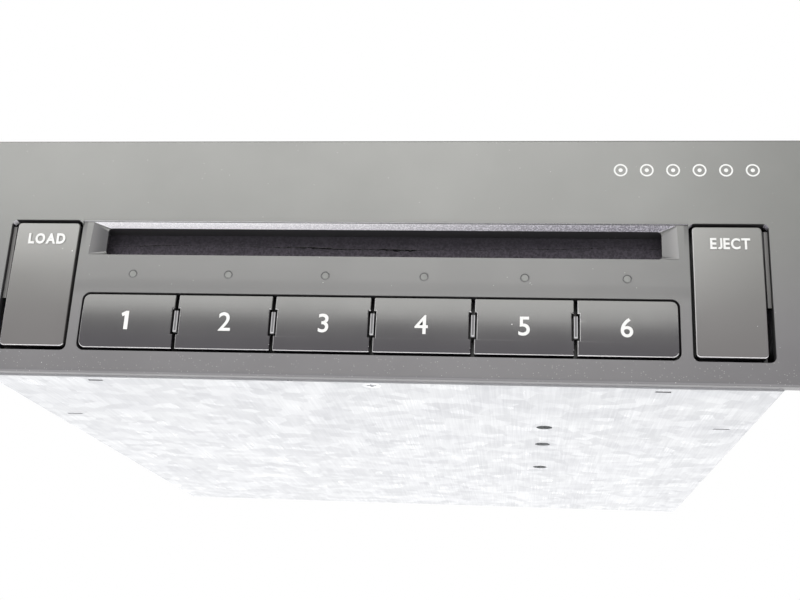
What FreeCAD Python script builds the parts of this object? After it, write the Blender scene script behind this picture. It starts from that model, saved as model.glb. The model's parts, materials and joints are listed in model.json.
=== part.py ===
# In-dash changer for six compact discs: a 1-DIN front moulding with its keys and disc slot, a sheet-metal
# case, and inside it the loading roller, the stocker with six trays on four lift screws, and the swinging
# play deck.
#
# Millimetres. +X runs to the right, +Y from the front into the unit, +Z up. The origin is the centre of the
# unit's outline on the underside of the case. Depths below are counted from the face of the front moulding
# and heights from the underside of the case; SHIFT moves every depth to the frame of the part.
import FreeCAD, Part
import math
import os
import re

import Sketcher
from FreeCAD import Rotation, Vector

DISCS = 6
VENTS = 9
PINS = 8

SIZES = {
    # front moulding
    "fascia_width": 193,
    "fascia_over": 2,
    "fascia_wall": 2.5,
    "fascia_lift": 0.3,
    "fascia_edge": 0.6,
    "rim_depth": 3.2,
    "rim_wall": 2,
    # sheet-metal case
    "case_width": 182,
    "case_height": 56,
    "case_depth": 178.3,
    "metal": 1,
    "lap_gap": 0.1,
    "cover_skirt": 14,
    "bend_round": 0.8,
    "tab_length": 8,
    "tab_thickness": 1.5,
    "tab_front": 20,
    "tab_back_inset": 19.5,
    "slit_inset": 6,
    "slit_front": 42,
    "slit_length": 4,
    "slit_width": 0.8,
    "hole_across": 39.5,
    "hole_front": 45,
    "hole_step": 21,
    "hole_stride": 34,
    "hole_radius": 2,
    "mount_height": 20,
    "mount_radius": 2.5,
    "mount_front": 62,
    "mount_back": 122,
    "vent_pitch": 10,
    "vent_width": 3,
    "vent_length": 22,
    "vent_margin": 14,
    "bead_near": 56,
    "bead_width": 6,
    "bead_margin": 18,
    "bead_height": 0.5,
    # row of disc keys
    "key_pitch": 22.6,
    "key_seam": 0.75,
    "key_sill": 5.2,
    "key_row_height": 14,
    "key_gap": 0.35,
    "key_gap_below": 0.8,
    "key_corner": 1.5,
    "key_crown": 0.3,
    "key_edge": 0.25,
    "key_travel": 0.8,
    "lip_gap": 0.2,
    "lip_thickness": 0.8,
    "lip_reach": 1.5,
    "stem_radius": 2,
    "stem_length": 2.9,
    "notch_rise": 4.2,
    "notch_height": 6.2,
    "notch_width": 0.5,
    "pillar_width": 0.8,
    "pillar_gap": 0.6,
    "pillar_inset": 0.3,
    # load and eject keys
    "end_web": 2.4,
    "end_sill": 5.1,
    "end_window_width": 17.5,
    "end_window_height": 32.1,
    "end_key_width": 15.2,
    "end_key_height": 30.3,
    "end_gap": 0.8,
    "end_gap_below": 1.1,
    "end_corner": 0.9,
    "end_window_corner": 1.4,
    "ledge_width": 1.3,
    "ledge_height": 17.8,
    "ledge_inset": 0.9,
    "ledge_thickness": 1.2,
    # disc slot
    "slot_width": 129,
    "slot_height": 6.7,
    "slot_sill": 29.2,
    "slot_corner": 0.9,
    "mouth_side": 3.8,
    "mouth_below": 0.7,
    "mouth_above": 1.1,
    "mouth_depth": 2,
    "mouth_corner": 0.3,
    "throat_depth": 0.6,
    "duct_depth": 6.4,
    "duct_wall": 1,
    "duct_side": 1.6,
    "felt_thickness": 0.8,
    "felt_slit": 0.4,
    "felt_margin": 0.6,
    "crease_depth": 0.35,
    "crease_height": 15,
    # indicators
    "lamp_height": 23.8,
    "pipe_radius": 0.75,
    "pipe_length": 7.2,
    "lamp_width": 1.6,
    "lamp_gap": 0.2,
    # what holds the front moulding
    "hook_spacing": 128.8,
    "hook_width": 3,
    "hook_depth": 6,
    "hook_nub": 0.8,
    "hook_thickness": 1.2,
    "hook_gap": 0.2,
    "screw_depth": 5.7,
    "boss_width": 6,
    "boss_height": 2.8,
    "boss_back": 9,
    # key carrier, mat and front board
    "frame_gap": 0.2,
    "frame_thickness": 1.2,
    "frame_margin": 1.3,
    "mat_gap": 0.1,
    "mat_pad": 0.3,
    "mat_thickness": 0.8,
    "board_thickness": 1.6,
    "front_post_radius": 1.5,
    "stem_clear": 0.4,
    "lamp_margin": 2.7,
    "pipe_bar_gap": 0.5,
    "pipe_bar_thickness": 1.5,
    "pipe_bar_half": 2.2,
    # fasteners and fits
    "fit": 0.05,
    "bond": 0.02,
    "screw_bite": 4,
    "screw_short": 0.5,
    "screw_radius": 1,
    "screw_head_radius": 2.2,
    "screw_head_height": 1.2,
    "cross_width": 0.6,
    "cross_length": 2.2,
    "countersink": 0.9,
    # discs
    "disc_radius": 60,
    "disc_thickness": 1.2,
    # main board and rear connector
    "board_lift": 1.5,
    "board_width": 146,
    "board_front": 40,
    "board_back_gap": 5.5,
    "board_inset": 5,
    "standoff_radius": 2.4,
    "connector_width": 40,
    "connector_height": 6,
    "connector_length": 13,
    "connector_stand": 4,
    "connector_offset": 30,
    "connector_wall": 0.8,
    "connector_gap": 0.15,
    "connector_well": 9,
    "pin_pitch": 4.2,
    "pin_row": 2.2,
    "pin_width": 0.7,
    "pin_inset": 1.5,
    "chip_height": 0.9,
    "chip_pitch": 22,
    "chip_size": 12,
    "flex_near": 40,
    "flex_rise": 8,
    "flex_width": 20,
    "flex_thickness": 0.2,
    # mechanism chassis
    "base_thickness": 1.2,
    "base_width": 168,
    "base_front": 14,
    "base_back_gap": 5.5,
    "top_front": 40,
    "post_radius": 2.5,
    "post_inset": 4,
    "post_front": 50,
    "post_back_gap": 26.5,
    "bush_radius": 5,
    "bush_neck": 3.5,
    "bush_flange": 2.5,
    "bush_front": 30,
    "bush_back_gap": 11.5,
    "bush_screw_radius": 1.5,
    "bush_head_radius": 3.2,
    "bush_post_radius": 3,
    "bush_screw_bite": 5,
    "top_window_radius": 50,
    # loading roller and its gears
    "bracket_spacing": 132,
    "bracket_thickness": 1.2,
    "bracket_front": 14,
    "bracket_left_back": 30,
    "bracket_right_back": 46,
    "bracket_top": 36.2,
    "roller_depth": 22,
    "roller_radius": 4,
    "roller_waist": 3.4,
    "roller_gap": 10,
    "roller_margin": 4,
    "shaft_radius": 1.5,
    "gear_offset": 1.3,
    "gear_width": 3,
    "gear_module": 0.5,
    "shaft_end": 0.5,
    "idler_axle_radius": 1,
    "pinion_drop": 53.13,
    "load_motor_radius": 6,
    "load_motor_length": 23,
    "guide_gap": 0.3,
    "guide_thickness": 1.5,
    "guide_back": 28,
    # stocker
    "top_room": 2,
    "base_height": 12.2,
    "tray_thickness": 1.2,
    "tray_width": 128,
    "tray_depth": 63.5,
    "tray_back_gap": 6,
    "tray_seat": 0.4,
    "tray_bay": 25,
    "stock_back_gap": 66.5,
    "seat_gap": 0.5,
    "carrier_wall": 1.2,
    "carrier_margin": 1.2,
    "stock_clear": 0.85,
    "top_clear": 0.35,
    "lug_height": 6,
    "lug_length": 10,
    "lug_width": 8,
    "lug_lift": 8,
    "lift_spacing": 137,
    "lift_run": 47,
    "lift_back_gap": 16.5,
    "lift_screw_radius": 2.5,
    "journal_radius": 1.5,
    "pulley_radius": 5,
    "pulley_flange": 1.2,
    "pulley_rim": 0.5,
    "pulley_drop": 1.2,
    "belt_width": 2.2,
    "belt_thickness": 0.8,
    "belt_play": 0.2,
    "lift_motor_across": 78,
    "lift_motor_gap": 40.5,
    "lift_motor_radius": 6,
    "lift_motor_height": 20,
    # play deck
    "pivot_across": -60,
    "pivot_depth": 42,
    "pivot_radius": 3,
    "pivot_boss": 8,
    "deck_reach": 80,
    "deck_half_width": 15,
    "deck_start": 12,
    "deck_height": 20,
    "deck_thickness": 1.5,
    "spindle_radius": 1,
    "spindle_motor_radius": 13,
    "spindle_motor_height": 6.5,
    "turntable_radius": 14,
    "turntable_thickness": 2,
    "turntable_gap": 0.9,
    "cone_radius": 7,
    "cone_height": 1,
    "sled_length": 18,
    "sled_width": 24,
    "sled_height": 5,
    "sled_lift": 1,
    "sled_clear": 2,
    "sled_travel": 30,
    "sled_lug": 6,
    "rod_radius": 1,
    "rod_spacing": 18,
    "rod_lift": 3,
    "sled_screw_radius": 1.2,
    "lens_radius": 2.5,
    "lens_height": 1,
    "column_width": 4,
    "column_length": 8,
    "column_across": 4,
    "clamp_gap": 3.4,
    "clamp_thickness": 1.5,
    "clamp_width": 12,
    "clamp_pin_radius": 1,
    "clamp_ear": 3,
    "clamper_radius": 12,
    "clamper_thickness": 2.4,
    "clamper_neck": 3,
    "clamper_gap": 0.8,
    "clamper_cap": 1.2,
    "clamp_play": 0.15,
}

doc = FreeCAD.newDocument("cd_changer")
sheet = doc.addObject("Spreadsheet::Sheet", "Sizes")
for row, (word, size) in enumerate(SIZES.items(), start=1):
    sheet.set(f"A{row}", word)
    sheet.set(f"B{row}", str(size))
    sheet.setAlias(f"B{row}", word)
doc.recompute()


# ---- expressions -------------------------------------------------------------------------------------------
def full(text):
    """The expression with every size named by its cell of the sheet."""
    return re.sub(r"[a-z_]+", lambda m: "Sizes." + m[0] if m[0] in SIZES else m[0], str(text))


def value(text):
    """The number that an expression comes to."""
    return float(sheet.evalExpression(full(text)))


def bind(item, prop, text):
    item.setExpression(prop, full(text))


# Places that several pieces share, written once as expressions of the sizes.
FRONT = "rim_depth"
BACK = "(rim_depth + case_depth)"
FASCIA_TOP = "(fascia_lift + case_height + fascia_over)"
TAB_BACK = f"({BACK} - tab_back_inset)"
SHIFT = "(-(rim_depth + case_depth + connector_stand) / 2)"
TUB_HALF = "(case_width / 2 - metal - lap_gap)"
TUB_TOP = "(case_height - metal - lap_gap)"
KEY_ROW_HALF = f"({DISCS} * key_pitch / 2)"
KEY_SILL = "(fascia_lift + key_sill)"
KEY_TOP = "(fascia_lift + key_sill + key_row_height)"
END_NEAR = f"({KEY_ROW_HALF} + end_web)"
END_FAR = f"({END_NEAR} + end_window_width)"
END_SILL = "(fascia_lift + end_sill)"
END_TOP = "(fascia_lift + end_sill + end_window_height)"
END_CENTRE = f"({END_NEAR} + end_gap + end_key_width / 2)"
END_KEY_SILL = f"({END_SILL} + end_gap_below)"
SLOT_SILL = "(fascia_lift + slot_sill)"
SLOT_TOP = "(fascia_lift + slot_sill + slot_height)"
DISC_PLANE = "(fascia_lift + slot_sill + slot_height / 2)"
LAMP_HEIGHT = "(fascia_lift + lamp_height)"
LIP_FRONT = "(fascia_wall + lip_gap)"
LIP_BACK = f"({LIP_FRONT} + lip_thickness)"
FRAME_FRONT = f"({LIP_BACK} + key_travel + frame_gap)"
STEM_TIP = f"({LIP_BACK} + stem_length)"
PAD_FRONT = f"({STEM_TIP} + key_travel + mat_gap)"
MAT_FRONT = f"({PAD_FRONT} + mat_pad)"
BOARD_FRONT = f"({MAT_FRONT} + mat_thickness)"
BOARD_BACK = f"({BOARD_FRONT} + board_thickness)"
CARRIER_SILL = f"({KEY_SILL} - frame_margin)"
CARRIER_TOP = f"({KEY_TOP} + frame_margin)"
WING_NEAR = "(slot_width / 2 + duct_side + duct_wall + 0.7)"
WING_FAR = f"({END_FAR} - 0.9)"
WING_TOP = f"({END_TOP} + frame_margin)"
BOARD_TOP = "(metal + board_lift + board_thickness)"
MAIN_BOARD_BACK = f"({BACK} - board_back_gap)"
BASE_BACK = f"({BACK} - base_back_gap)"
TRAY_BACK = f"({BACK} - tray_back_gap)"
TRAY_FRONT = f"({TRAY_BACK} - tray_depth)"
STOCK_CENTRE = f"({BACK} - stock_back_gap)"
LIFT_BACK = f"({BACK} - lift_back_gap)"
LIFT_FRONT = f"({LIFT_BACK} - lift_run)"
BRACKET = "(bracket_spacing / 2)"
ROLLER_HEIGHT = f"({DISC_PLANE} - disc_thickness / 2 - roller_radius)"
ROLLER_TEETH = 24
IDLER_TEETH = 24
PINION_TEETH = 12
IDLER_DEPTH = f"(roller_depth + gear_module * {ROLLER_TEETH + IDLER_TEETH} / 2)"
PINION_RUN = f"(gear_module * {IDLER_TEETH + PINION_TEETH} / 2)"
PINION_DEPTH = f"({IDLER_DEPTH} + {PINION_RUN} * cos(pinion_drop))"
PINION_HEIGHT = f"({ROLLER_HEIGHT} - {PINION_RUN} * sin(pinion_drop))"
GEAR_START = f"({BRACKET} + bracket_thickness + gear_offset)"
STOCK_TOP = f"({DISC_PLANE} - disc_thickness / 2)"
# the stack needs the same room above the slot as below it, so the smaller of the two sets its travel
TOP_PLATE = "(case_height - metal - top_room - base_thickness)"
ROOM_ABOVE = f"({TOP_PLATE} - top_clear - carrier_margin - {STOCK_TOP})"
ROOM_BELOW = f"({STOCK_TOP} - tray_thickness - stock_clear - base_height)"
STOCK_TRAVEL = f"min({ROOM_ABOVE}; {ROOM_BELOW})"
TRAY_PITCH = f"({STOCK_TRAVEL} / {DISCS - 1})"
STOCK_BOTTOM = f"({STOCK_TOP} - {STOCK_TRAVEL} - tray_thickness)"
BASE_TOP = "base_height"
BASE_BOTTOM = f"({BASE_TOP} - base_thickness)"
PULLEY_TOP = f"({BASE_BOTTOM} - pulley_drop)"
PULLEY_HEIGHT = "(belt_width + 2 * belt_play + 2 * pulley_rim)"
SPINDLE = "(pivot_across + deck_reach)"
DECK_TOP = "(deck_height + deck_thickness)"
TURNTABLE_TOP = f"({STOCK_TOP} - turntable_gap)"
CLAMP_HEIGHT = f"({DISC_PLANE} + disc_thickness / 2 + clamp_gap)"


# ---- primitives and booleans -------------------------------------------------------------------------------
TURNS = {
    "x": Rotation(Vector(0, 1, 0), 90),
    "y": Rotation(Vector(1, 0, 0), -90),
    "z": Rotation(),
}


def put(item, across, depth, height):
    bind(item, "Placement.Base.x", across)
    bind(item, "Placement.Base.y", f"{depth} + {SHIFT}")
    bind(item, "Placement.Base.z", height)
    return item


def box(across, depth, height):
    """A block between two expressions along each axis."""
    item = doc.addObject("Part::Box", "block")
    for prop, (low, high) in zip(("Length", "Width", "Height"), (across, depth, height)):
        bind(item, prop, f"({high}) - ({low})")
    return put(item, across[0], depth[0], height[0])


def rod(axis, radius, start, length):
    """A cylinder that runs from start along +axis."""
    item = doc.addObject("Part::Cylinder", "rod")
    item.Placement.Rotation = TURNS[axis]
    bind(item, "Radius", radius)
    bind(item, "Height", length)
    return put(item, *start)


def cone(axis, radius, end_radius, start, length):
    item = doc.addObject("Part::Cone", "cone")
    item.Placement.Rotation = TURNS[axis]
    bind(item, "Radius1", radius)
    bind(item, "Radius2", end_radius)
    bind(item, "Height", length)
    return put(item, *start)


def fuse(*items):
    if len(items) == 1:
        return items[0]
    joined = doc.addObject("Part::MultiFuse", "joined")
    joined.Shapes = list(items)
    joined.Refine = True
    return joined


def group(*items):
    """Separate solids kept together as one sub-part."""
    kept = doc.addObject("Part::Compound", "set")
    kept.Links = list(items)
    return kept


def cut(base, *tools):
    rest = doc.addObject("Part::Cut", "rest")
    rest.Base = base
    rest.Tool = fuse(*tools)
    rest.Refine = True
    return rest


def cross(axis, spot, depth):
    """The two crossed blocks that cut a screwdriver recess to a depth below the spot."""
    across, back, up = spot
    arms = []
    for wide, tall in (("cross_length", "cross_width"), ("cross_width", "cross_length")):
        sideways = (f"{across} - {wide} / 2", f"{across} + {wide} / 2")
        if axis == "z":
            lengthways = (f"{back} - {tall} / 2", f"{back} + {tall} / 2")
            arms.append(box(sideways, lengthways, (f"{up} - {depth}", up)))
        else:
            upright = (f"{up} - {tall} / 2", f"{up} + {tall} / 2")
            arms.append(box(sideways, (f"{back} - {depth}", back), upright))
    return arms


def along(axis, spot, step):
    """The spot moved along an axis."""
    return tuple(f"({text} + {step})" if name == axis else text for name, text in zip("xyz", spot))


def screw(axis, seat, length, radius="screw_radius", head="screw_head_radius"):
    """A pan-head screw whose head stands on its seat, towards +axis, with a cross recess."""
    blank = fuse(
        rod(axis, radius, along(axis, seat, f"-({length})"), length),
        rod(axis, head, seat, "screw_head_height"),
    )
    return cut(blank, *cross(axis, along(axis, seat, "screw_head_height"), "screw_head_height / 2"))


def span(side, low, high):
    """A stretch across the unit, on the right for side 1 and mirrored to the left for side -1."""
    return (low, high) if side > 0 else (f"-({high})", f"-({low})")


NODES = []


def node(name, item):
    """Names a finished sub-part."""
    item.Label = name
    NODES.append(item)
    return item


# ---- bodies with sketches ----------------------------------------------------------------------------------
PLANES = {"front": "XZ_Plane", "side": "YZ_Plane", "plan": "XY_Plane"}


def new_body(name):
    body = doc.addObject("PartDesign::Body", "body")
    bind(body, "Placement.Base.y", SHIFT)
    return node(name, body)


def pin(sketch, edge, end, across, up):
    """Holds a sketch point at two expressions."""
    for kind, text in (("DistanceX", across), ("DistanceY", up)):
        index = sketch.addConstraint(Sketcher.Constraint(kind, -1, 1, edge, end, value(text)))
        sketch.setExpression(f"Constraints[{index}]", full(text))


def hold_radius(sketch, edge, radius):
    index = sketch.addConstraint(Sketcher.Constraint("Radius", edge, value(radius)))
    sketch.setExpression(f"Constraints[{index}]", full(radius))


def loop(*corners):
    """Draws straight edges through the corners."""

    def draw(sketch):
        spots = [Vector(value(across), value(up), 0) for across, up in corners]
        first = sketch.GeometryCount
        count = len(corners)
        for index in range(count):
            sketch.addGeometry(Part.LineSegment(spots[index], spots[(index + 1) % count]), False)
        for index, (across, up) in enumerate(corners):
            after = first + (index + 1) % count
            sketch.addConstraint(Sketcher.Constraint("Coincident", first + index, 2, after, 1))
            pin(sketch, first + index, 1, across, up)

    return draw


def rectangle(low, high, bottom, top):
    return loop((low, bottom), (high, bottom), (high, top), (low, top))


def rounded(low, high, bottom, top, radius):
    """Draws a rectangle whose corners are arcs of one radius."""
    radius = f"({radius})"

    def draw(sketch):
        size = value(radius)
        left, right, floor, roof = (value(text) for text in (low, high, bottom, top))
        centres = (
            (f"{high} - {radius}", f"{bottom} + {radius}", right - size, floor + size, 270),
            (f"{high} - {radius}", f"{top} - {radius}", right - size, roof - size, 0),
            (f"{low} + {radius}", f"{top} - {radius}", left + size, roof - size, 90),
            (f"{low} + {radius}", f"{bottom} + {radius}", left + size, floor + size, 180),
        )
        first = sketch.GeometryCount
        arcs = []
        for _, _, across, up, start in centres:
            ring = Part.Circle(Vector(across, up, 0), Vector(0, 0, 1), size)
            arcs.append(Part.ArcOfCircle(ring, math.radians(start), math.radians(start + 90)))
        for index, arc in enumerate(arcs):
            sketch.addGeometry(arc, False)
            after = arcs[(index + 1) % 4]
            sketch.addGeometry(Part.LineSegment(arc.EndPoint, after.StartPoint), False)
        for index in range(4):
            arc, side = first + 2 * index, first + 2 * index + 1
            after = first + 2 * ((index + 1) % 4)
            sketch.addConstraint(Sketcher.Constraint("Tangent", arc, 2, side, 1))
            sketch.addConstraint(Sketcher.Constraint("Tangent", side, 2, after, 1))
            pin(sketch, arc, 3, centres[index][0], centres[index][1])
            hold_radius(sketch, arc, radius)

    return draw


def circle(across, up, radius):
    def draw(sketch):
        centre = Vector(value(across), value(up), 0)
        edge = sketch.addGeometry(Part.Circle(centre, Vector(0, 0, 1), value(radius)), False)
        pin(sketch, edge, 3, across, up)
        hold_radius(sketch, edge, radius)

    return draw


def crowned(front, back, bottom, top, crown):
    """A side profile whose front edge bulges forward by crown."""

    def draw(sketch):
        low, high = value(bottom), value(top)
        face, rear = value(f"{front} + {crown}"), value(back)
        middle = Vector(value(front), (low + high) / 2, 0)
        bow = Part.Arc(Vector(face, high, 0), middle, Vector(face, low, 0))
        arc = sketch.addGeometry(bow, False)
        start, end = (1, 2) if bow.StartPoint.y > bow.EndPoint.y else (2, 1)
        sides = (
            ((face, low), (rear, low)),
            ((rear, low), (rear, high)),
            ((rear, high), (face, high)),
        )
        for tail, tip in sides:
            sketch.addGeometry(Part.LineSegment(Vector(*tail, 0), Vector(*tip, 0)), False)
        sketch.addConstraint(Sketcher.Constraint("Coincident", arc, end, arc + 1, 1))
        sketch.addConstraint(Sketcher.Constraint("Coincident", arc + 1, 2, arc + 2, 1))
        sketch.addConstraint(Sketcher.Constraint("Coincident", arc + 2, 2, arc + 3, 1))
        sketch.addConstraint(Sketcher.Constraint("Coincident", arc + 3, 2, arc, start))
        pin(sketch, arc + 1, 1, f"{front} + {crown}", bottom)
        pin(sketch, arc + 2, 1, back, bottom)
        pin(sketch, arc + 3, 1, back, top)
        pin(sketch, arc + 3, 2, f"{front} + {crown}", top)
        hold_radius(sketch, arc, f"(({top}) - ({bottom}))^2 / (8 * {crown}) + {crown} / 2")

    return draw


def sketch_on(body, view, start, draws):
    sketch = body.newObject("Sketcher::SketchObject", "outline")
    plane = next(item for item in body.Origin.OriginFeatures if item.Role == PLANES[view])
    sketch.AttachmentSupport = (plane, [""])
    sketch.MapMode = "FlatFace"
    bind(sketch, "AttachmentOffset.Base.z", f"-({start})" if view == "front" else start)
    for draw in draws:
        draw(sketch)
    return sketch


def pad(body, view, start, length, *draws):
    """Adds the outline, extruded from start along the positive axis that the view looks along."""
    feature = body.newObject("PartDesign::Pad", "pad")
    feature.Profile = sketch_on(body, view, start, draws)
    feature.Reversed = view == "front"
    bind(feature, "Length", length)
    return feature


def pocket(body, view, start, length, *draws):
    """Removes the outline, from start along the positive axis that the view looks along."""
    doc.recompute([body])
    before = body.Shape.Volume
    feature = body.newObject("PartDesign::Pocket", "pocket")
    feature.Profile = sketch_on(body, view, start, draws)
    feature.Reversed = view != "front"
    bind(feature, "Length", length)
    doc.recompute([body])
    if body.Shape.Volume > before - 1e-3:
        raise RuntimeError(f"a pocket cuts nothing in {body.Label}")
    return feature


def soften(body, kind, size, wanted):
    """Fillets or chamfers the edges of the body that wanted(edge) picks."""
    doc.recompute([body])
    names = [f"Edge{n}" for n, edge in enumerate(body.Tip.Shape.Edges, start=1) if wanted(edge)]
    if not names:
        raise RuntimeError(f"no edge of {body.Label} to soften")
    base = body.Tip
    feature = body.newObject(f"PartDesign::{kind}", kind.lower())
    feature.Base = (base, names)
    bind(feature, "Radius" if kind == "Fillet" else "Size", size)
    return feature


def runs_along(edge, axis):
    """True for a straight edge parallel to an axis."""
    if edge.Curve.TypeId != "Part::GeomLine":
        return False
    first, last = edge.Vertexes[0].Point, edge.Vertexes[-1].Point
    others = [name for name in "xyz" if name != axis]
    return all(abs(getattr(first, name) - getattr(last, name)) < 1e-6 for name in others)


def near(number, text):
    return abs(number - value(text)) < 1e-4


def middle_of(edge):
    return edge.BoundBox.Center


# ---- front moulding ----------------------------------------------------------------------------------------
HOOK_FLOOR = "(metal + hook_gap)"
MOUTH_TOP = f"({SLOT_TOP} + mouth_above)"
POST_ACROSS = "(2 * key_pitch)"


def slot_loop(grow_side, grow_below, grow_above, corner):
    """The outline of the disc slot, grown on each side."""
    half = f"(slot_width / 2 + {grow_side})"
    return rounded(f"-{half}", half, f"{SLOT_SILL} - {grow_below}", f"{SLOT_TOP} + {grow_above}", corner)


def make_fascia():
    """The plastic front: a wall with a rim, a duct behind the slot, windows for keys and lamps, and hooks."""
    body = new_body("fascia")
    half, roof = "(fascia_width / 2)", FASCIA_TOP
    pad(body, "front", "0", "rim_depth", rectangle(f"-{half}", half, "fascia_lift", roof))
    soften(body, "Fillet", "fascia_edge", lambda edge: edge.BoundBox.YMax < 1e-6)
    inner = f"({half} - rim_wall)"
    hollow = rectangle(f"-{inner}", inner, "fascia_lift + rim_wall", f"{roof} - rim_wall")
    pocket(body, "front", "fascia_wall", "rim_depth - fascia_wall", hollow)
    duct = slot_loop("duct_side + duct_wall", "duct_wall", "duct_wall", "slot_corner + duct_wall")
    pad(body, "front", "fascia_wall", "duct_depth - fascia_wall", duct)
    crease = loop(
        ("0", MOUTH_TOP),
        ("crease_depth", MOUTH_TOP),
        ("0", f"{MOUTH_TOP} - crease_height"),
    )
    pocket(body, "side", f"-{END_NEAR}", f"2 * {END_NEAR}", crease)
    mouth = body.newObject("PartDesign::SubtractiveLoft", "mouth")
    lips = slot_loop("mouth_side", "mouth_below", "mouth_above", "mouth_corner")
    throat = slot_loop("0", "0", "0", "slot_corner")
    mouth.Profile = sketch_on(body, "front", "0", [lips])
    mouth.Sections = [sketch_on(body, "front", "mouth_depth", [throat])]
    pocket(body, "front", "0", "duct_depth", throat)
    behind = "(mouth_depth + throat_depth)"
    pocket(body, "front", behind, f"duct_depth - {behind}", slot_loop("duct_side", "0", "0", "slot_corner"))
    row_window = rounded(f"-{KEY_ROW_HALF}", KEY_ROW_HALF, KEY_SILL, KEY_TOP, "key_corner + key_gap")
    end_windows = [
        rounded(*span(side, END_NEAR, END_FAR), END_SILL, END_TOP, "end_window_corner")
        for side in (-1, 1)
    ]
    pocket(body, "front", "0", "fascia_wall", row_window, *end_windows)
    holes = [
        circle(f"{index - (DISCS - 1) / 2} * key_pitch", LAMP_HEIGHT, "pipe_radius + fit")
        for index in range(DISCS)
    ]
    pocket(body, "front", "0", "fascia_wall", *holes)
    make_fascia_back(body)


def make_fascia_back(body):
    """Ribs, posts, hooks and the screw boss behind the wall of the front moulding."""
    ribs = [
        rectangle(*span(side, f"({KEY_ROW_HALF} + fit)", f"({END_NEAR} - fit)"), CARRIER_SILL, CARRIER_TOP)
        for side in (-1, 1)
    ]
    pad(body, "front", "fascia_wall", f"{FRAME_FRONT} - fascia_wall", *ribs)
    posts = [circle(f"{side} * {POST_ACROSS}", LAMP_HEIGHT, "front_post_radius") for side in (-1, 1)]
    pad(body, "front", "fascia_wall", f"{BOARD_FRONT} - fascia_wall", *posts)
    pilots = [circle(f"{side} * {POST_ACROSS}", LAMP_HEIGHT, "screw_radius + fit") for side in (-1, 1)]
    pocket(body, "front", f"{BOARD_FRONT} - screw_bite", "screw_bite", *pilots)
    centres = ["hook_spacing / 2", "-hook_spacing / 2"]
    tongue_back = "(hook_depth + hook_nub)"
    for floor in (HOOK_FLOOR, "(case_height - metal - hook_gap - hook_thickness)"):
        tongues = [
            rectangle(f"{x} - hook_width / 2", f"{x} + hook_width / 2", floor, f"{floor} + hook_thickness")
            for x in centres
        ]
        pad(body, "front", "fascia_wall", f"{tongue_back} - fascia_wall", *tongues)
    nubs = [
        rectangle(
            f"{x} - hook_width / 2",
            f"{x} + hook_width / 2",
            "hook_depth - hook_nub / 2",
            "hook_depth + hook_nub / 2",
        )
        for x in centres
    ]
    pad(body, "plan", "hook_gap", "metal", *nubs)
    boss = rectangle("-boss_width / 2", "boss_width / 2", "fascia_wall", "boss_back")
    pad(body, "plan", HOOK_FLOOR, "boss_height", boss)
    pocket(body, "plan", HOOK_FLOOR, "boss_height", circle("0", "screw_depth", "screw_radius + fit"))


def make_key(name, centre, width, sill, height, rounded_sides, corner, notched_sides=(), ledge_side=0):
    """A push key: a crowned cap with lips that hold it behind the front wall, and a stem for its switch."""
    body = new_body(name)
    low, high = f"({centre} - {width} / 2)", f"({centre} + {width} / 2)"
    roof = f"({sill} + {height})"
    pad(body, "side", low, width, crowned("0", LIP_BACK, sill, roof, "key_crown"))
    sides = {-1: low, 1: high}
    ends = [sides[side] for side in rounded_sides]
    soften(
        body,
        "Fillet",
        corner,
        lambda edge: runs_along(edge, "y") and any(near(middle_of(edge).x, end) for end in ends),
    )
    notches = []
    for side in notched_sides:
        inner = f"({sides[side]} - {side} * notch_width)"
        stretch = (inner, sides[side]) if side > 0 else (sides[side], inner)
        foot = f"{sill} + notch_rise - key_gap_below"
        notches.append(rectangle(*stretch, foot, f"{foot} + notch_height"))
    if notches:
        pocket(body, "front", "0", LIP_BACK, *notches)
    soften(body, "Fillet", "key_edge", lambda edge: bounds_front(body, edge))
    lips = [
        rectangle(f"{low} + {corner}", f"{high} - {corner}", f"{sill} - lip_reach", f"{sill} + lip_reach"),
        rectangle(f"{low} + {corner}", f"{high} - {corner}", f"{roof} - lip_reach", f"{roof} + lip_reach"),
    ]
    pad(body, "front", LIP_FRONT, "lip_thickness", *lips)
    if ledge_side:
        edge = sides[ledge_side]
        outer = f"({edge} + {ledge_side} * ledge_width)"
        root = f"({edge} - {ledge_side} * ledge_width)"
        stretch = (root, outer) if ledge_side > 0 else (outer, root)
        ledge = rectangle(*stretch, f"{roof} - {corner} - ledge_height", f"{roof} - {corner}")
        pad(body, "front", "ledge_inset", "ledge_thickness", ledge)
    pad(body, "front", LIP_BACK, "stem_length", circle(centre, f"{sill} + {height} / 2", "stem_radius"))


def bounds_front(body, edge):
    """True for an edge of the crowned front face."""
    face = min(body.Tip.Shape.Faces, key=lambda item: item.CenterOfMass.y)
    return any(edge.isSame(side) for side in face.Edges)


def key_centre(index):
    return f"({index - (DISCS - 1) / 2} * key_pitch)"


def make_keys():
    row_width, row_height = "(key_pitch - key_seam)", "(key_row_height - key_gap - key_gap_below)"
    for index in range(DISCS):
        outer = [side for side, last in ((-1, 0), (1, DISCS - 1)) if index == last]
        inner = [side for side in (-1, 1) if side not in outer]
        make_key(
            f"disc_key_{index + 1}",
            key_centre(index),
            row_width,
            f"({KEY_SILL} + key_gap_below)",
            row_height,
            outer or (-1, 1),
            "key_corner" if outer else "key_edge",
            notched_sides=inner,
        )
    for name, side in (("load_key", -1), ("eject_key", 1)):
        make_key(
            name,
            f"({side} * {END_CENTRE})",
            "end_key_width",
            END_KEY_SILL,
            "end_key_height",
            (-1, 1),
            "end_corner",
            ledge_side=side,
        )


def stem_spots():
    """Centre of each key's stem, as across and up."""
    row = [(key_centre(index), f"{KEY_SILL} + key_row_height / 2") for index in range(DISCS)]
    ends = [(f"{side} * {END_CENTRE}", f"{END_KEY_SILL} + end_key_height / 2") for side in (-1, 1)]
    return row + ends


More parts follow.
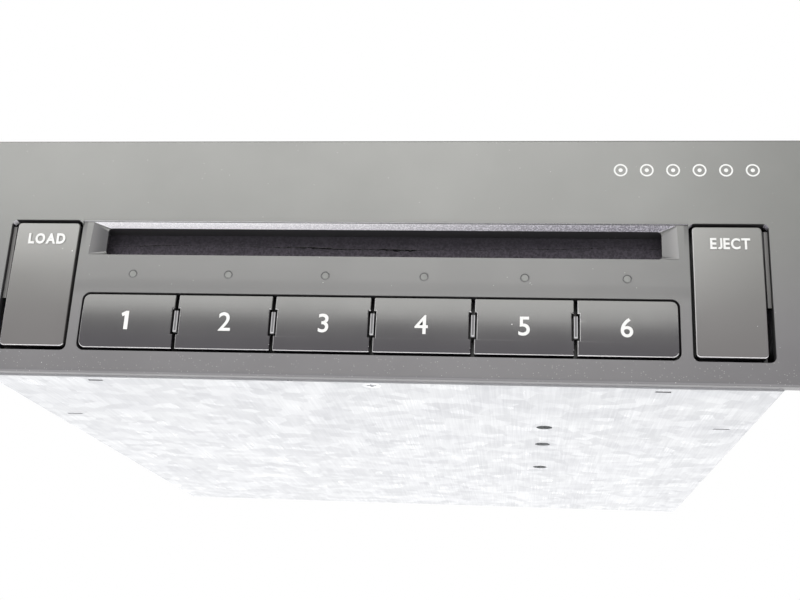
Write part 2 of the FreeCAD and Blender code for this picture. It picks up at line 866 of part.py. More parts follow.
def carrier_loop(middle_top):
    """A plate below the slot with a wing behind each end key."""
    return loop(
        (f"-{WING_FAR}", CARRIER_SILL),
        (WING_FAR, CARRIER_SILL),
        (WING_FAR, WING_TOP),
        (WING_NEAR, WING_TOP),
        (WING_NEAR, middle_top),
        (f"-{WING_NEAR}", middle_top),
        (f"-{WING_NEAR}", WING_TOP),
        (f"-{WING_FAR}", WING_TOP),
    )


def make_key_frame():
    """The plate that guides the stems and carries the pillars between the disc keys."""
    body = new_body("key_frame")
    pad(body, "front", FRAME_FRONT, "frame_thickness", carrier_loop(CARRIER_TOP))
    foot = f"{KEY_SILL} + notch_rise + pillar_gap"
    head = f"{KEY_SILL} + notch_rise + notch_height - pillar_gap"
    pillars = []
    for index in range(1, DISCS):
        centre = f"{index - DISCS / 2} * key_pitch"
        pillars.append(rectangle(f"{centre} - pillar_width / 2", f"{centre} + pillar_width / 2", foot, head))
    pad(body, "front", "pillar_inset", f"{FRAME_FRONT} - pillar_inset", *pillars)
    holes = [circle(across, up, "stem_radius + stem_clear") for across, up in stem_spots()]
    pocket(body, "front", FRAME_FRONT, "frame_thickness", *holes)


def make_keypad_mat():
    """The rubber sheet whose pads close the switches."""
    body = new_body("keypad_mat")
    pad(body, "front", MAT_FRONT, "mat_thickness", carrier_loop(CARRIER_TOP))
    pads = [circle(across, up, "stem_radius + stem_clear") for across, up in stem_spots()]
    pad(body, "front", PAD_FRONT, "mat_pad", *pads)


def make_front_board():
    """The circuit board behind the mat, held on two posts of the front moulding."""
    body = new_body("front_board")
    pad(body, "front", BOARD_FRONT, "board_thickness", carrier_loop(f"{LAMP_HEIGHT} + lamp_margin"))
    holes = [circle(f"{side} * {POST_ACROSS}", LAMP_HEIGHT, "screw_radius + fit") for side in (-1, 1)]
    pocket(body, "front", BOARD_FRONT, "board_thickness", *holes)


def make_lamps():
    """Six light pipes on one bar, and the lamps behind them on the board."""
    bar_half = f"({(DISCS - 1) / 2} * key_pitch + 2 * pipe_radius)"
    bar = box(
        (f"-{bar_half}", bar_half),
        ("fascia_wall + pipe_bar_gap", "fascia_wall + pipe_bar_gap + pipe_bar_thickness"),
        (f"{LAMP_HEIGHT} - pipe_bar_half", f"{LAMP_HEIGHT} + pipe_bar_half"),
    )
    places = [key_centre(index) for index in range(DISCS)]
    pipes = [rod("y", "pipe_radius", (place, "0", LAMP_HEIGHT), "pipe_length") for place in places]
    posts = [
        rod("y", "front_post_radius + fit", (f"{side} * {POST_ACROSS}", "0", LAMP_HEIGHT), "duct_depth")
        for side in (-1, 1)
    ]
    node("light_pipes", cut(fuse(bar, *pipes), *posts))
    lamps = [
        box(
            (f"{place} - lamp_width / 2", f"{place} + lamp_width / 2"),
            ("pipe_length + lamp_gap", BOARD_FRONT),
            (f"{LAMP_HEIGHT} - lamp_width / 2", f"{LAMP_HEIGHT} + lamp_width / 2"),
        )
        for place in places
    ]
    node("indicator_lamps", group(*lamps))


def make_felts():
    """The two strips of felt that close the slot against dust."""
    end = "(slot_width / 2 + duct_side + felt_margin)"
    across = (f"-{end}", end)
    depth = ("duct_depth", "duct_depth + felt_thickness")
    lower = box(across, depth, (f"{SLOT_SILL} - felt_margin", f"{DISC_PLANE} - felt_slit / 2"))
    upper = box(across, depth, (f"{DISC_PLANE} + felt_slit / 2", f"{SLOT_TOP} + felt_margin"))
    node("dust_felts", group(lower, upper))


def make_fascia_screw():
    """The countersunk screw that holds the front moulding to the floor of the case."""
    spot = ("0", "screw_depth", "0")
    head = cone("z", "screw_head_radius", "screw_head_radius - countersink", spot, "countersink")
    shank = rod("z", "screw_radius", spot, f"{HOOK_FLOOR} + boss_height - screw_short")
    recess = cross("z", ("0", "screw_depth", "countersink / 2"), "countersink / 2")
    node("fascia_screw", cut(fuse(head, shank), *recess))


# ---- case --------------------------------------------------------------------------------------------------
def corners(across, front, back):
    """Four places, left and right at the front and at the back."""
    return [(f"{side} * {across}", depth) for depth in (front, back) for side in (-1, 1)]


BUSH_ACROSS = "(base_width / 2 - post_inset)"
STANDOFFS = corners(
    "(board_width / 2 - board_inset)",
    "board_front + board_inset",
    f"{MAIN_BOARD_BACK} - board_inset",
)
BUSHES = corners(BUSH_ACROSS, "bush_front", f"({BACK} - bush_back_gap)")
COVER_SCREWS = corners(f"({TUB_HALF} - metal - tab_length / 2)", "tab_front", TAB_BACK)
CONNECTOR_LOW = "(-connector_offset - connector_width / 2)"
CONNECTOR_HIGH = "(-connector_offset + connector_width / 2)"


def make_bottom_case():
    """The folded tub: floor, sides and back, with posts for the board and for the mechanism."""
    body = new_body("bottom_case")
    pad(body, "front", FRONT, "case_depth", rectangle(f"-{TUB_HALF}", TUB_HALF, "0", TUB_TOP))
    soften(
        body,
        "Fillet",
        "bend_round",
        lambda edge: runs_along(edge, "y") and middle_of(edge).z < 1e-6,
    )
    inner = f"({TUB_HALF} - metal)"
    pocket(body, "front", FRONT, "case_depth - metal", rectangle(f"-{inner}", inner, "metal", TUB_TOP))
    floor_cuts = [
        rectangle(
            f"{x} - hook_width / 2 - hook_gap",
            f"{x} + hook_width / 2 + hook_gap",
            "hook_depth - hook_nub / 2 - hook_gap",
            "hook_depth + hook_nub / 2 + hook_gap",
        )
        for x in ("hook_spacing / 2", "-hook_spacing / 2")
    ]
    for across, depth in ((f"-{inner} + slit_inset", "slit_front"), (f"{inner} - slit_inset", "slit_front")):
        floor_cuts.append(
            rectangle(
                f"{across} - slit_length / 2",
                f"{across} + slit_length / 2",
                f"{depth} - slit_width / 2",
                f"{depth} + slit_width / 2",
            )
        )
    for depth in ("hole_front", "hole_front + hole_step", "hole_front + hole_step + hole_stride"):
        floor_cuts.append(circle("hole_across", depth, "hole_radius"))
    floor_cuts.append(circle("0", "screw_depth", "screw_head_radius - countersink + fit"))
    pocket(body, "plan", "0", "metal", *floor_cuts)
    soften(
        body,
        "Chamfer",
        "countersink",
        lambda edge: edge.BoundBox.ZMax < 1e-6 and near(middle_of(edge).y, "screw_depth"),
    )
    pad(body, "plan", "metal", "board_lift", *(circle(*spot, "standoff_radius") for spot in STANDOFFS))
    pilots = [circle(*spot, "screw_radius + fit") for spot in STANDOFFS]
    pocket(body, "plan", "metal", "board_lift", *pilots)
    post_height = f"({BASE_BOTTOM} - bush_flange - metal)"
    pad(body, "plan", "metal", post_height, *(circle(*spot, "bush_post_radius") for spot in BUSHES))
    bores = [circle(*spot, "bush_screw_radius + fit") for spot in BUSHES]
    pocket(body, "plan", "metal", post_height, *bores)
    tabs = []
    for side in (-1, 1):
        for depth in ("tab_front", TAB_BACK):
            stretch = span(side, f"({inner} - tab_length)", inner)
            tabs.append(rectangle(*stretch, f"{depth} - tab_length / 2", f"{depth} + tab_length / 2"))
    pad(body, "plan", f"{TUB_TOP} - tab_thickness", "tab_thickness", *tabs)
    tapped = [circle(*spot, "screw_radius + fit") for spot in COVER_SCREWS]
    pocket(body, "plan", f"{TUB_TOP} - tab_thickness", "tab_thickness", *tapped)
    side_holes = [circle(depth, "mount_height", "mount_radius") for depth in ("mount_front", "mount_back")]
    pocket(body, "side", f"-{TUB_HALF}", f"2 * {TUB_HALF}", *side_holes)
    opening = rectangle(
        f"{CONNECTOR_LOW} - connector_gap",
        f"{CONNECTOR_HIGH} + connector_gap",
        f"{BOARD_TOP} - connector_gap",
        f"{BOARD_TOP} + connector_height + connector_gap",
    )
    pocket(body, "front", f"{BACK} - metal", "metal", opening)


def make_top_cover():
    """The lid: a plate whose skirts lap the sides of the tub, with vents and two stiffening beads."""
    body = new_body("top_cover")
    half = "(case_width / 2)"
    skirt = "(case_height - cover_skirt)"
    pad(body, "front", FRONT, "case_depth", rectangle(f"-{half}", half, skirt, "case_height"))
    soften(
        body,
        "Fillet",
        "bend_round",
        lambda edge: runs_along(edge, "y") and near(middle_of(edge).z, "case_height"),
    )
    inner = f"({half} - metal)"
    pocket(body, "front", FRONT, "case_depth", rectangle(f"-{inner}", inner, skirt, "case_height - metal"))
    vents = []
    for index in range(VENTS):
        centre = f"{index - (VENTS - 1) / 2} * vent_pitch"
        vents.append(
            rounded(
                f"{centre} - vent_width / 2",
                f"{centre} + vent_width / 2",
                f"{BACK} - vent_margin - vent_length",
                f"{BACK} - vent_margin",
                "vent_width / 2 - fit",
            )
        )
    pocket(body, "plan", "case_height - metal", "metal", *vents)
    holes = [circle(*spot, "screw_radius + fit") for spot in COVER_SCREWS]
    pocket(body, "plan", "case_height - metal", "metal", *holes)
    beads = [
        rounded(
            *span(side, "bead_near", "(bead_near + bead_width)"),
            f"{FRONT} + bead_margin",
            f"{BACK} - bead_margin - vent_length",
            "bead_width / 2 - fit",
        )
        for side in (-1, 1)
    ]
    pad(body, "plan", "case_height", "bead_height", *beads)
    seats = [(across, depth, "case_height") for across, depth in COVER_SCREWS]
    length = "metal + lap_gap + tab_thickness"
    node("cover_screws", group(*(screw("z", seat, length) for seat in seats)))


# ---- main board and rear connector -------------------------------------------------------------------------
def make_main_board():
    """The control board on four standoffs, the parts soldered to it, and the screws of both boards."""
    half = "(board_width / 2)"
    level = (f"{BOARD_TOP} - board_thickness", BOARD_TOP)
    plate = box((f"-{half}", half), ("board_front", MAIN_BOARD_BACK), level)
    depth = "board_lift + board_thickness"
    holes = [rod("z", "screw_radius + fit", (*spot, "metal"), depth) for spot in STANDOFFS]
    node("main_board", cut(plate, *holes))
    screws = [screw("z", (*spot, BOARD_TOP), "board_thickness + board_lift - fit") for spot in STANDOFFS]
    for side in (-1, 1):
        seat = (f"{side} * {POST_ACROSS}", BOARD_BACK, LAMP_HEIGHT)
        screws.append(screw("y", seat, "screw_bite + board_thickness - fit"))
    node("board_screws", group(*screws))
    chips = []
    for column, row, size in ((-2, 0, 14), (0, 0, 18), (-1, 1, 12), (1, 1, 14), (-2, 2, 10), (2, 2, 12)):
        across, depth = f"{column} * chip_pitch", f"board_front + 2 * board_inset + {row + 0.5} * chip_pitch"
        reach = f"{size / 20} * chip_size"
        chips.append(
            box(
                (f"{across} - {reach}", f"{across} + {reach}"),
                (f"{depth} - {reach}", f"{depth} + {reach}"),
                (BOARD_TOP, f"{BOARD_TOP} + chip_height"),
            )
        )
    node("board_chips", group(*chips))


def make_rear_connector():
    """The plug socket that reaches out through the back of the case, with two rows of pins."""
    back = f"({BACK} + connector_stand)"
    front = f"({back} - connector_length)"
    level = (BOARD_TOP, f"{BOARD_TOP} + connector_height")
    block = box((CONNECTOR_LOW, CONNECTOR_HIGH), (front, back), level)
    well = box(
        (f"{CONNECTOR_LOW} + connector_wall", f"{CONNECTOR_HIGH} - connector_wall"),
        (f"{back} - connector_well", back),
        (f"{BOARD_TOP} + connector_wall", f"{BOARD_TOP} + connector_height - connector_wall"),
    )
    pins = []
    for row in (-0.5, 0.5):
        for index in range(PINS):
            across = f"-connector_offset + {index - (PINS - 1) / 2} * pin_pitch"
            height = f"{BOARD_TOP} + connector_height / 2 + {row} * pin_row"
            pins.append(
                box(
                    (f"{across} - pin_width / 2", f"{across} + pin_width / 2"),
                    (f"{back} - connector_well - pin_width", f"{back} - pin_inset"),
                    (f"{height} - pin_width / 2", f"{height} + pin_width / 2"),
                )
            )
    node("rear_connector", fuse(cut(block, well), *pins))


def make_flex_cable():
    """The flat ribbon from the front board to the main board."""
    across = ("flex_near", "flex_near + flex_width")
    bend = f"({BOARD_BACK} + flex_thickness)"
    upright = box(across, (BOARD_BACK, bend), (BOARD_TOP, f"{BOARD_TOP} + flex_rise"))
    level = (BOARD_TOP, f"{BOARD_TOP} + flex_thickness")
    flat = box(across, (BOARD_BACK, "board_front + board_inset"), level)
    node("flex_ribbon", fuse(upright, flat))


# ---- mechanism chassis -------------------------------------------------------------------------------------
LIFTS = corners("(lift_spacing / 2)", LIFT_FRONT, LIFT_BACK)
POSTS = corners(BUSH_ACROSS, "post_front", f"({BACK} - post_back_gap)")
LIFT_MOTOR = ("lift_motor_across", f"({BACK} - lift_motor_gap)")
PIVOT = ("pivot_across", "pivot_depth")


def make_chassis():
    """The floating chassis: base plate on four rubber bushes, four posts and the upper plate."""
    half = "(base_width / 2)"
    plate = box((f"-{half}", half), ("base_front", BASE_BACK), (BASE_BOTTOM, BASE_TOP))

    def bore(spot, radius):
        return rod("z", radius, (*spot, BASE_BOTTOM), "base_thickness")

    holes = [bore(spot, "bush_neck + fit") for spot in BUSHES]
    holes += [bore(spot, "journal_radius + fit") for spot in LIFTS]
    holes += [bore(LIFT_MOTOR, "spindle_radius + fit"), bore(PIVOT, "pivot_radius + fit")]
    node("mech_base", cut(plate, *holes))
    upper = box((f"-{half}", half), ("top_front", BASE_BACK), (TOP_PLATE, f"{TOP_PLATE} + base_thickness"))
    window = rod("z", "top_window_radius", ("0", STOCK_CENTRE, TOP_PLATE), "base_thickness")
    bearings = [rod("z", "journal_radius + fit", (*spot, TOP_PLATE), "base_thickness") for spot in LIFTS]
    node("mech_top_plate", cut(upper, window, *bearings))
    posts = [rod("z", "post_radius", (*spot, BASE_TOP), f"{TOP_PLATE} - {BASE_TOP}") for spot in POSTS]
    node("mech_posts", group(*posts))
    bushes, screws = [], []
    foot = f"({BASE_BOTTOM} - bush_flange)"
    spool_height = "(2 * bush_flange + base_thickness)"
    for spot in BUSHES:
        spool = fuse(
            rod("z", "bush_radius", (*spot, foot), "bush_flange"),
            rod("z", "bush_neck", (*spot, BASE_BOTTOM), "base_thickness"),
            rod("z", "bush_radius", (*spot, BASE_TOP), "bush_flange"),
        )
        bushes.append(cut(spool, rod("z", "bush_screw_radius + fit", (*spot, foot), spool_height)))
        seat = (*spot, f"{BASE_TOP} + bush_flange")
        length = f"{spool_height} + bush_screw_bite"
        screws.append(screw("z", seat, length, "bush_screw_radius", "bush_head_radius"))
    node("damper_bushes", group(*bushes))
    node("damper_screws", group(*screws))


# ---- loading roller ----------------------------------------------------------------------------------------
def gear(teeth, spot, phase, bore=None):
    """A spur gear on an axis along X, its first tooth turned by phase degrees from +Y towards +Z."""
    module, width = value("gear_module"), value("gear_width")
    pitch = module * teeth / 2
    tip, root = pitch + 0.9 * module, pitch - 1.2 * module
    step = 360 / teeth
    outline = []
    for index in range(teeth):
        middle = phase + index * step
        for radius, share in ((root, -0.34), (tip, -0.11), (tip, 0.11), (root, 0.34)):
            angle = math.radians(middle + share * step)
            outline.append(Vector(0, radius * math.cos(angle), radius * math.sin(angle)))
    wheel = Part.Face(Part.makePolygon(outline + outline[:1])).extrude(Vector(width, 0, 0))
    if bore:
        wheel = wheel.cut(Part.makeCylinder(value(bore), width, Vector(), Vector(1, 0, 0)))
    item = doc.addObject("Part::Feature", "gear")
    item.Shape = wheel
    across, depth, height = (value(text) for text in spot)
    item.Placement.Base = Vector(across, depth + value(SHIFT), height)
    return item


def mesh_phase(phase, teeth, direction, other_teeth):
    """Phase of a gear that meshes with one of the given phase, in the given direction from it."""
    share = (direction - phase) * teeth / 360
    return direction + 180 - (0.5 - share) * 360 / other_teeth


def make_roller():
    """The rubber roller that draws a disc in, its shaft, its gear train and its motor."""
    shaft_start = f"({BRACKET} + bracket_thickness + fit)"
    axis = ("roller_depth", ROLLER_HEIGHT)
    gear_end = f"({GEAR_START} + gear_width + shaft_end)"
    node("roller_shaft", rod("x", "shaft_radius", (f"-{shaft_start}", *axis), f"{shaft_start} + {gear_end}"))
    reach = f"({BRACKET} - roller_margin)"
    length = f"({reach} - roller_gap / 2)"
    halves = [
        cone("x", "roller_radius", "roller_waist", (f"-{reach}", *axis), length),
        cone("x", "roller_waist", "roller_radius", ("roller_gap / 2", *axis), length),
    ]
    bore = rod("x", "shaft_radius + bond", (f"-{reach}", *axis), f"2 * {reach}")
    node("roller_sleeves", cut(group(*halves), bore))
    roller_phase = 0
    idler_phase = mesh_phase(roller_phase, ROLLER_TEETH, 0, IDLER_TEETH)
    pinion_phase = mesh_phase(idler_phase, IDLER_TEETH, -value("pinion_drop"), PINION_TEETH)
    node("roller_gear", gear(ROLLER_TEETH, (GEAR_START, *axis), roller_phase, "shaft_radius + bond"))
    idler_spot = (GEAR_START, IDLER_DEPTH, ROLLER_HEIGHT)
    node("idler_gear", gear(IDLER_TEETH, idler_spot, idler_phase, "idler_axle_radius + fit"))
    shaft = rod(
        "x",
        "spindle_radius",
        (f"{BRACKET} + fit", PINION_DEPTH, PINION_HEIGHT),
        f"{GEAR_START} - {BRACKET} - fit + gear_width",
    )
    pinion = gear(PINION_TEETH, (GEAR_START, PINION_DEPTH, PINION_HEIGHT), pinion_phase)
    node("pinion_shaft", fuse(pinion, shaft))
    make_brackets(axis)


def make_brackets(axis):
    """The two upright brackets, the guide plate between them and the loading motor."""
    hole_start = f"(-{BRACKET} - bracket_thickness)"
    left = box(
        (hole_start, f"-{BRACKET}"),
        ("bracket_front", "bracket_left_back"),
        (BASE_TOP, "bracket_top"),
    )
    bearing = rod("x", "shaft_radius + fit", (hole_start, *axis), "bracket_thickness")
    node("roller_bracket_left", cut(left, bearing))
    right = box(
        (BRACKET, f"{BRACKET} + bracket_thickness"),
        ("bracket_front", "bracket_right_back"),
        (BASE_TOP, "bracket_top"),
    )
    axle_start = f"({BRACKET} + bracket_thickness)"
    axle = rod(
        "x",
        "idler_axle_radius",
        (axle_start, IDLER_DEPTH, ROLLER_HEIGHT),
        "gear_offset + gear_width + shaft_end",
    )
    holes = [
        rod("x", "shaft_radius + fit", (BRACKET, *axis), "bracket_thickness"),
        rod("x", "spindle_radius + fit", (BRACKET, PINION_DEPTH, PINION_HEIGHT), "bracket_thickness"),
    ]
    node("roller_bracket_right", fuse(cut(right, *holes), axle))
    can_start = f"({BRACKET} - load_motor_length)"
    can = rod("x", "load_motor_radius", (can_start, PINION_DEPTH, PINION_HEIGHT), "load_motor_length")
    node("load_motor", can)
    floor = f"({DISC_PLANE} + disc_thickness / 2 + guide_gap)"
    level = (floor, f"{floor} + guide_thickness")
    guide = box((f"-{BRACKET}", BRACKET), ("bracket_front", "guide_back"), level)
    node("disc_guide", guide)


# ---- stocker -----------------------------------------------------------------------------------------------
def make_tray(index):
    """A tray for one disc: a half-moon plate with a shallow seat and a bay for the turntable."""
    body = new_body(f"tray_{index + 1}")
    half = "(tray_width / 2)"
    roof = f"({STOCK_TOP} - {DISCS - 1 - index} * {TRAY_PITCH})"
    plate = rectangle(f"-{half}", half, TRAY_FRONT, TRAY_BACK)
    pad(body, "plan", f"{roof} - tray_thickness", "tray_thickness", plate)
    seat = circle("0", STOCK_CENTRE, "disc_radius - seat_gap")
    pocket(body, "plan", f"{roof} - tray_seat", "tray_seat", seat)
    bay = circle("0", STOCK_CENTRE, "tray_bay")
    pocket(body, "plan", f"{roof} - tray_thickness", "tray_thickness", bay)


def make_stock_carrier():
    """The frame that joins the six trays and rides on the four lift screws."""
    body = new_body("stock_carrier")
    low, high = STOCK_BOTTOM, f"({STOCK_TOP} + carrier_margin)"
    inner, outer = "(tray_width / 2)", "(tray_width / 2 + carrier_wall)"
    back = f"({TRAY_BACK} + carrier_wall)"
    rise = f"{high} - {low}"
    walls = loop(
        (f"-{outer}", TRAY_FRONT),
        (f"-{inner}", TRAY_FRONT),
        (f"-{inner}", TRAY_BACK),
        (inner, TRAY_BACK),
        (inner, TRAY_FRONT),
        (outer, TRAY_FRONT),
        (outer, back),
        (f"-{outer}", back),
    )
    pad(body, "plan", low, rise, walls)
    lugs = []
    for side in (-1, 1):
        for depth in (LIFT_FRONT, LIFT_BACK):
            stretch = span(side, inner, f"({inner} + lug_width)")
            lugs.append(rectangle(*stretch, f"{depth} - lug_length / 2", f"{depth} + lug_length / 2"))
    pad(body, "plan", f"{low} + lug_lift", "lug_height", *lugs)
    nuts = [circle(*spot, "lift_screw_radius + fit") for spot in LIFTS]
    pocket(body, "plan", f"{low} + lug_lift", "lug_height", *nuts)


def pulley(spot, bottom):
    """A belt pulley with two flanges."""
    return [
        rod("z", "pulley_radius + pulley_flange", (*spot, bottom), "pulley_rim"),
        rod("z", "pulley_radius", (*spot, bottom), PULLEY_HEIGHT),
        rod("z", "pulley_radius + pulley_flange", (*spot, f"{PULLEY_TOP} - pulley_rim"), "pulley_rim"),
    ]


def make_lift():
    """Four lead screws moulded with their pulleys, the belt round them and the motor that drives it."""
    foot = f"({PULLEY_TOP} - {PULLEY_HEIGHT})"
    for index, spot in enumerate(LIFTS, start=1):
        thread_start = f"({BASE_TOP} + fit)"
        thread_end = f"({TOP_PLATE} - fit)"
        pieces = pulley(spot, foot)
        pieces.append(rod("z", "journal_radius", (*spot, foot), f"{TOP_PLATE} + base_thickness - {foot}"))
        pieces.append(rod("z", "lift_screw_radius", (*spot, thread_start), f"{thread_end} - {thread_start}"))
        node(f"lift_screw_{index}", fuse(*pieces))
    shaft = rod("z", "spindle_radius", (*LIFT_MOTOR, foot), f"{BASE_TOP} - {foot}")
    node("lift_motor_pulley", fuse(*pulley(LIFT_MOTOR, foot), shaft))
    node("lift_motor", rod("z", "lift_motor_radius", (*LIFT_MOTOR, BASE_TOP), "lift_motor_height"))
    route = [LIFTS[0], LIFTS[1], LIFT_MOTOR, LIFTS[3], LIFTS[2]]
    centres = [Vector(value(across), value(depth), 0) for across, depth in route]
    core = Part.Face(Part.makePolygon(centres + centres[:1]))
    inside = value("pulley_radius + fit")
    ring = core.makeOffset2D(inside + value("belt_thickness")).cut(core.makeOffset2D(inside))
    belt = doc.addObject("Part::Feature", "belt")
    belt.Shape = ring.extrude(Vector(0, 0, value("belt_width")))
    belt.Placement.Base = Vector(0, value(SHIFT), value(f"{foot} + pulley_rim + belt_play"))
    node("lift_belt", belt)


# ---- play deck ---------------------------------------------------------------------------------------------
SLED_HIGH = f"({SPINDLE} - turntable_radius - sled_clear)"
SLED_LOW = f"({SLED_HIGH} - sled_length)"
ROD_LOW = f"({SLED_LOW} - sled_travel - sled_clear)"
ROD_HIGH = f"({SLED_HIGH} + sled_clear / 2)"
ROD_HEIGHT = f"({DECK_TOP} + rod_lift)"
BLOCK = "(2 * rod_radius + 1)"
SLED_SCREW_DEPTH = "(pivot_depth - sled_width / 2 - sled_screw_radius - rod_radius / 2)"
COLUMN = "(pivot_across - column_across)"
HINGE_HEIGHT = f"({CLAMP_HEIGHT} + clamp_thickness / 2)"


def make_deck_plate():
    """The arm that swings the turntable between the discs, with its pivot and the clamp's column."""
    body = new_body("deck_plate")
    base, thick = "deck_height", "deck_thickness"
    start = "(pivot_across + deck_start)"
    low, high = "(pivot_depth - deck_half_width)", "(pivot_depth + deck_half_width)"
    pad(body, "plan", base, thick, rectangle(start, SPINDLE, low, high))
    pad(body, "plan", base, thick, circle(SPINDLE, "pivot_depth", "deck_half_width"))
    neck = rectangle("pivot_across", start, "pivot_depth - pivot_boss", "pivot_depth + pivot_boss")
    pad(body, "plan", base, thick, neck)
    pad(body, "plan", f"{BASE_TOP} + fit", f"{DECK_TOP} - {BASE_TOP} - fit", circle(*PIVOT, "pivot_boss"))
    pad(body, "plan", BASE_BOTTOM, f"{base} - {BASE_BOTTOM}", circle(*PIVOT, "pivot_radius"))
    wall = f"{SLED_SCREW_DEPTH} - {BLOCK} / 2"
    blocks = [
        rectangle(f"{ROD_LOW} - {BLOCK}", ROD_LOW, wall, high),
        rectangle(ROD_HIGH, f"{ROD_HIGH} + {BLOCK} / 2", wall, high),
    ]
    pad(body, "plan", DECK_TOP, f"{ROD_HEIGHT} - {DECK_TOP} + {BLOCK} / 2", *blocks)
    window = rectangle(
        f"{ROD_LOW} + sled_clear",
        f"{ROD_HIGH} - sled_clear / 2",
        "pivot_depth - rod_spacing / 4",
        "pivot_depth + rod_spacing / 4",
    )
    pocket(body, "plan", base, thick, window)
    pocket(body, "plan", base, thick, circle(SPINDLE, "pivot_depth", "spindle_radius + fit"))
    bores = [circle(depth, ROD_HEIGHT, f"{radius} + fit") for depth, radius in deck_rods()]
    pocket(body, "side", f"{ROD_LOW} - {BLOCK}", f"{ROD_HIGH} + {BLOCK} - {ROD_LOW} + {BLOCK}", *bores)
    column = rectangle(
        f"{COLUMN} - column_width / 2",
        f"{COLUMN} + column_width / 2",
        "pivot_depth - column_length / 2",
        "pivot_depth + column_length / 2",
    )
    pad(body, "plan", DECK_TOP, f"{HINGE_HEIGHT} + column_width / 2 - {DECK_TOP}", column)
    socket = circle(COLUMN, HINGE_HEIGHT, "clamp_pin_radius + fit")
    pocket(body, "front", "pivot_depth - column_length / 2", "column_length", socket)


def deck_rods():
    """Depth and radius of the two guide rods and of the sled's screw."""
    return (
        ("pivot_depth - rod_spacing / 2", "rod_radius"),
        ("pivot_depth + rod_spacing / 2", "rod_radius"),
        (SLED_SCREW_DEPTH, "sled_screw_radius"),
    )


def make_deck_parts():
    """Spindle motor, turntable, pickup sled with a half nut on its screw, and the clamp above the disc."""
    spindle = (SPINDLE, "pivot_depth")
    motor_foot = "(deck_height - spindle_motor_height)"
    node("spindle_motor", rod("z", "spindle_motor_radius", (*spindle, motor_foot), "spindle_motor_height"))
    plate_foot = f"({TURNTABLE_TOP} - turntable_thickness)"
    shaft = rod("z", "spindle_radius", (*spindle, "deck_height"), f"{TURNTABLE_TOP} - deck_height")
    platter = rod("z", "turntable_radius", (*spindle, plate_foot), "turntable_thickness")
    boss = cone("z", "cone_radius", "cone_radius - cone_height", (*spindle, TURNTABLE_TOP), "cone_height")
    node("turntable", fuse(shaft, platter, boss))
    rods = []
    length = f"{ROD_HIGH} - {ROD_LOW} + {BLOCK}"
    for depth, radius in deck_rods():
        rods.append(rod("x", radius, (f"{ROD_LOW} - {BLOCK} / 2", depth, ROD_HEIGHT), length))
    node("sled_rods", group(*rods[:2]))
    node("sled_screw", rods[2])
    sled_foot = f"({DECK_TOP} + sled_lift)"
    sled = box(
        (SLED_LOW, SLED_HIGH),
        ("pivot_depth - sled_width / 2", "pivot_depth + sled_width / 2"),
        (sled_foot, f"{sled_foot} + sled_height"),
    )
    middle = f"(({SLED_LOW} + {SLED_HIGH}) / 2)"
    lug = box(
        (f"{middle} - sled_lug / 2", f"{middle} + sled_lug / 2"),
        (SLED_SCREW_DEPTH, "pivot_depth - sled_width / 2"),
        (sled_foot, f"{sled_foot} + sled_height"),
    )
    lens = rod("z", "lens_radius", (middle, "pivot_depth", f"{sled_foot} + sled_height"), "lens_height")
    bores = [
        rod("x", f"{radius} + fit", (SLED_LOW, depth, ROD_HEIGHT), "sled_length")
        for depth, radius in deck_rods()
    ]
    node("pickup_sled", cut(fuse(sled, lug, lens), *bores))
    make_clamp(spindle)


def make_clamp(spindle):
    """The spring arm over the disc, hinged on the column, and the clamper that turns in its end."""
    low, high = "(pivot_depth - clamp_width / 2)", "(pivot_depth + clamp_width / 2)"
    column_side = f"({COLUMN} + column_width / 2 + clamp_play)"
    level = (CLAMP_HEIGHT, f"{CLAMP_HEIGHT} + clamp_thickness")
    plate = box((column_side, f"{SPINDLE} + clamper_neck + clamp_width / 4"), (low, high), level)
    ears, pins = [], []
    gap = "(pivot_depth - column_length / 2 - clamp_play)"
    far_gap = "(pivot_depth + column_length / 2 + clamp_play)"
    for depth in ((low, gap), (far_gap, high)):
        ears.append(box((f"{COLUMN} - clamp_ear / 2", f"{column_side} + clamp_ear"), depth, level))
    pin_length = "(clamp_width / 2 - column_length / 2 + column_length / 4)"
    pins.append(rod("y", "clamp_pin_radius", (COLUMN, low, HINGE_HEIGHT), pin_length))
    pins.append(rod("y", "clamp_pin_radius", (COLUMN, f"{high} - {pin_length}", HINGE_HEIGHT), pin_length))
    hole = rod("z", "clamper_neck + fit", (*spindle, CLAMP_HEIGHT), "clamp_thickness")
    node("clamp_arm", cut(fuse(plate, *ears, *pins), hole))
    foot = f"({CLAMP_HEIGHT} - clamper_gap - clamper_thickness)"
    roof = f"({CLAMP_HEIGHT} + clamp_thickness + clamper_gap)"
    puck = rod("z", "clamper_radius", (*spindle, foot), "clamper_thickness")
    neck = rod("z", "clamper_neck", (*spindle, foot), f"{roof} - {foot}")
    cap = rod("z", "clamper_neck + clamper_cap", (*spindle, roof), "clamper_cap")
    node("clamper", fuse(puck, neck, cap))


# ---- build, check and write --------------------------------------------------------------------------------
def build():
    make_fascia()
    make_keys()
    make_key_frame()
    make_keypad_mat()
    make_front_board()
    make_lamps()
    make_felts()
    make_fascia_screw()
    make_bottom_case()
    make_top_cover()
    make_main_board()
    make_rear_connector()
    make_flex_cable()
    make_chassis()
    make_roller()
    for index in range(DISCS):
        make_tray(index)
    make_stock_carrier()
    make_lift()
    make_deck_plate()
    make_deck_parts()
    doc.recompute()


def check():
    """Stops if anything failed to recompute or any sub-part is not a sound solid."""
    for item in doc.Objects:
        if "Invalid" in item.State or "Error" in item.State:
            raise RuntimeError(f"{item.Name} ({item.Label}) did not recompute")
    for item in NODES:
        shape = item.Shape
        if shape.isNull() or not shape.isValid() or not shape.Solids:
            raise RuntimeError(f"{item.Label} is not a sound solid")


def write():
    os.makedirs("parts", exist_ok=True)
    for item in NODES:
        item.Shape.exportStep(f"parts/{item.Label}.step")
    print(len(NODES), "sub-parts written")


build()
check()
write()
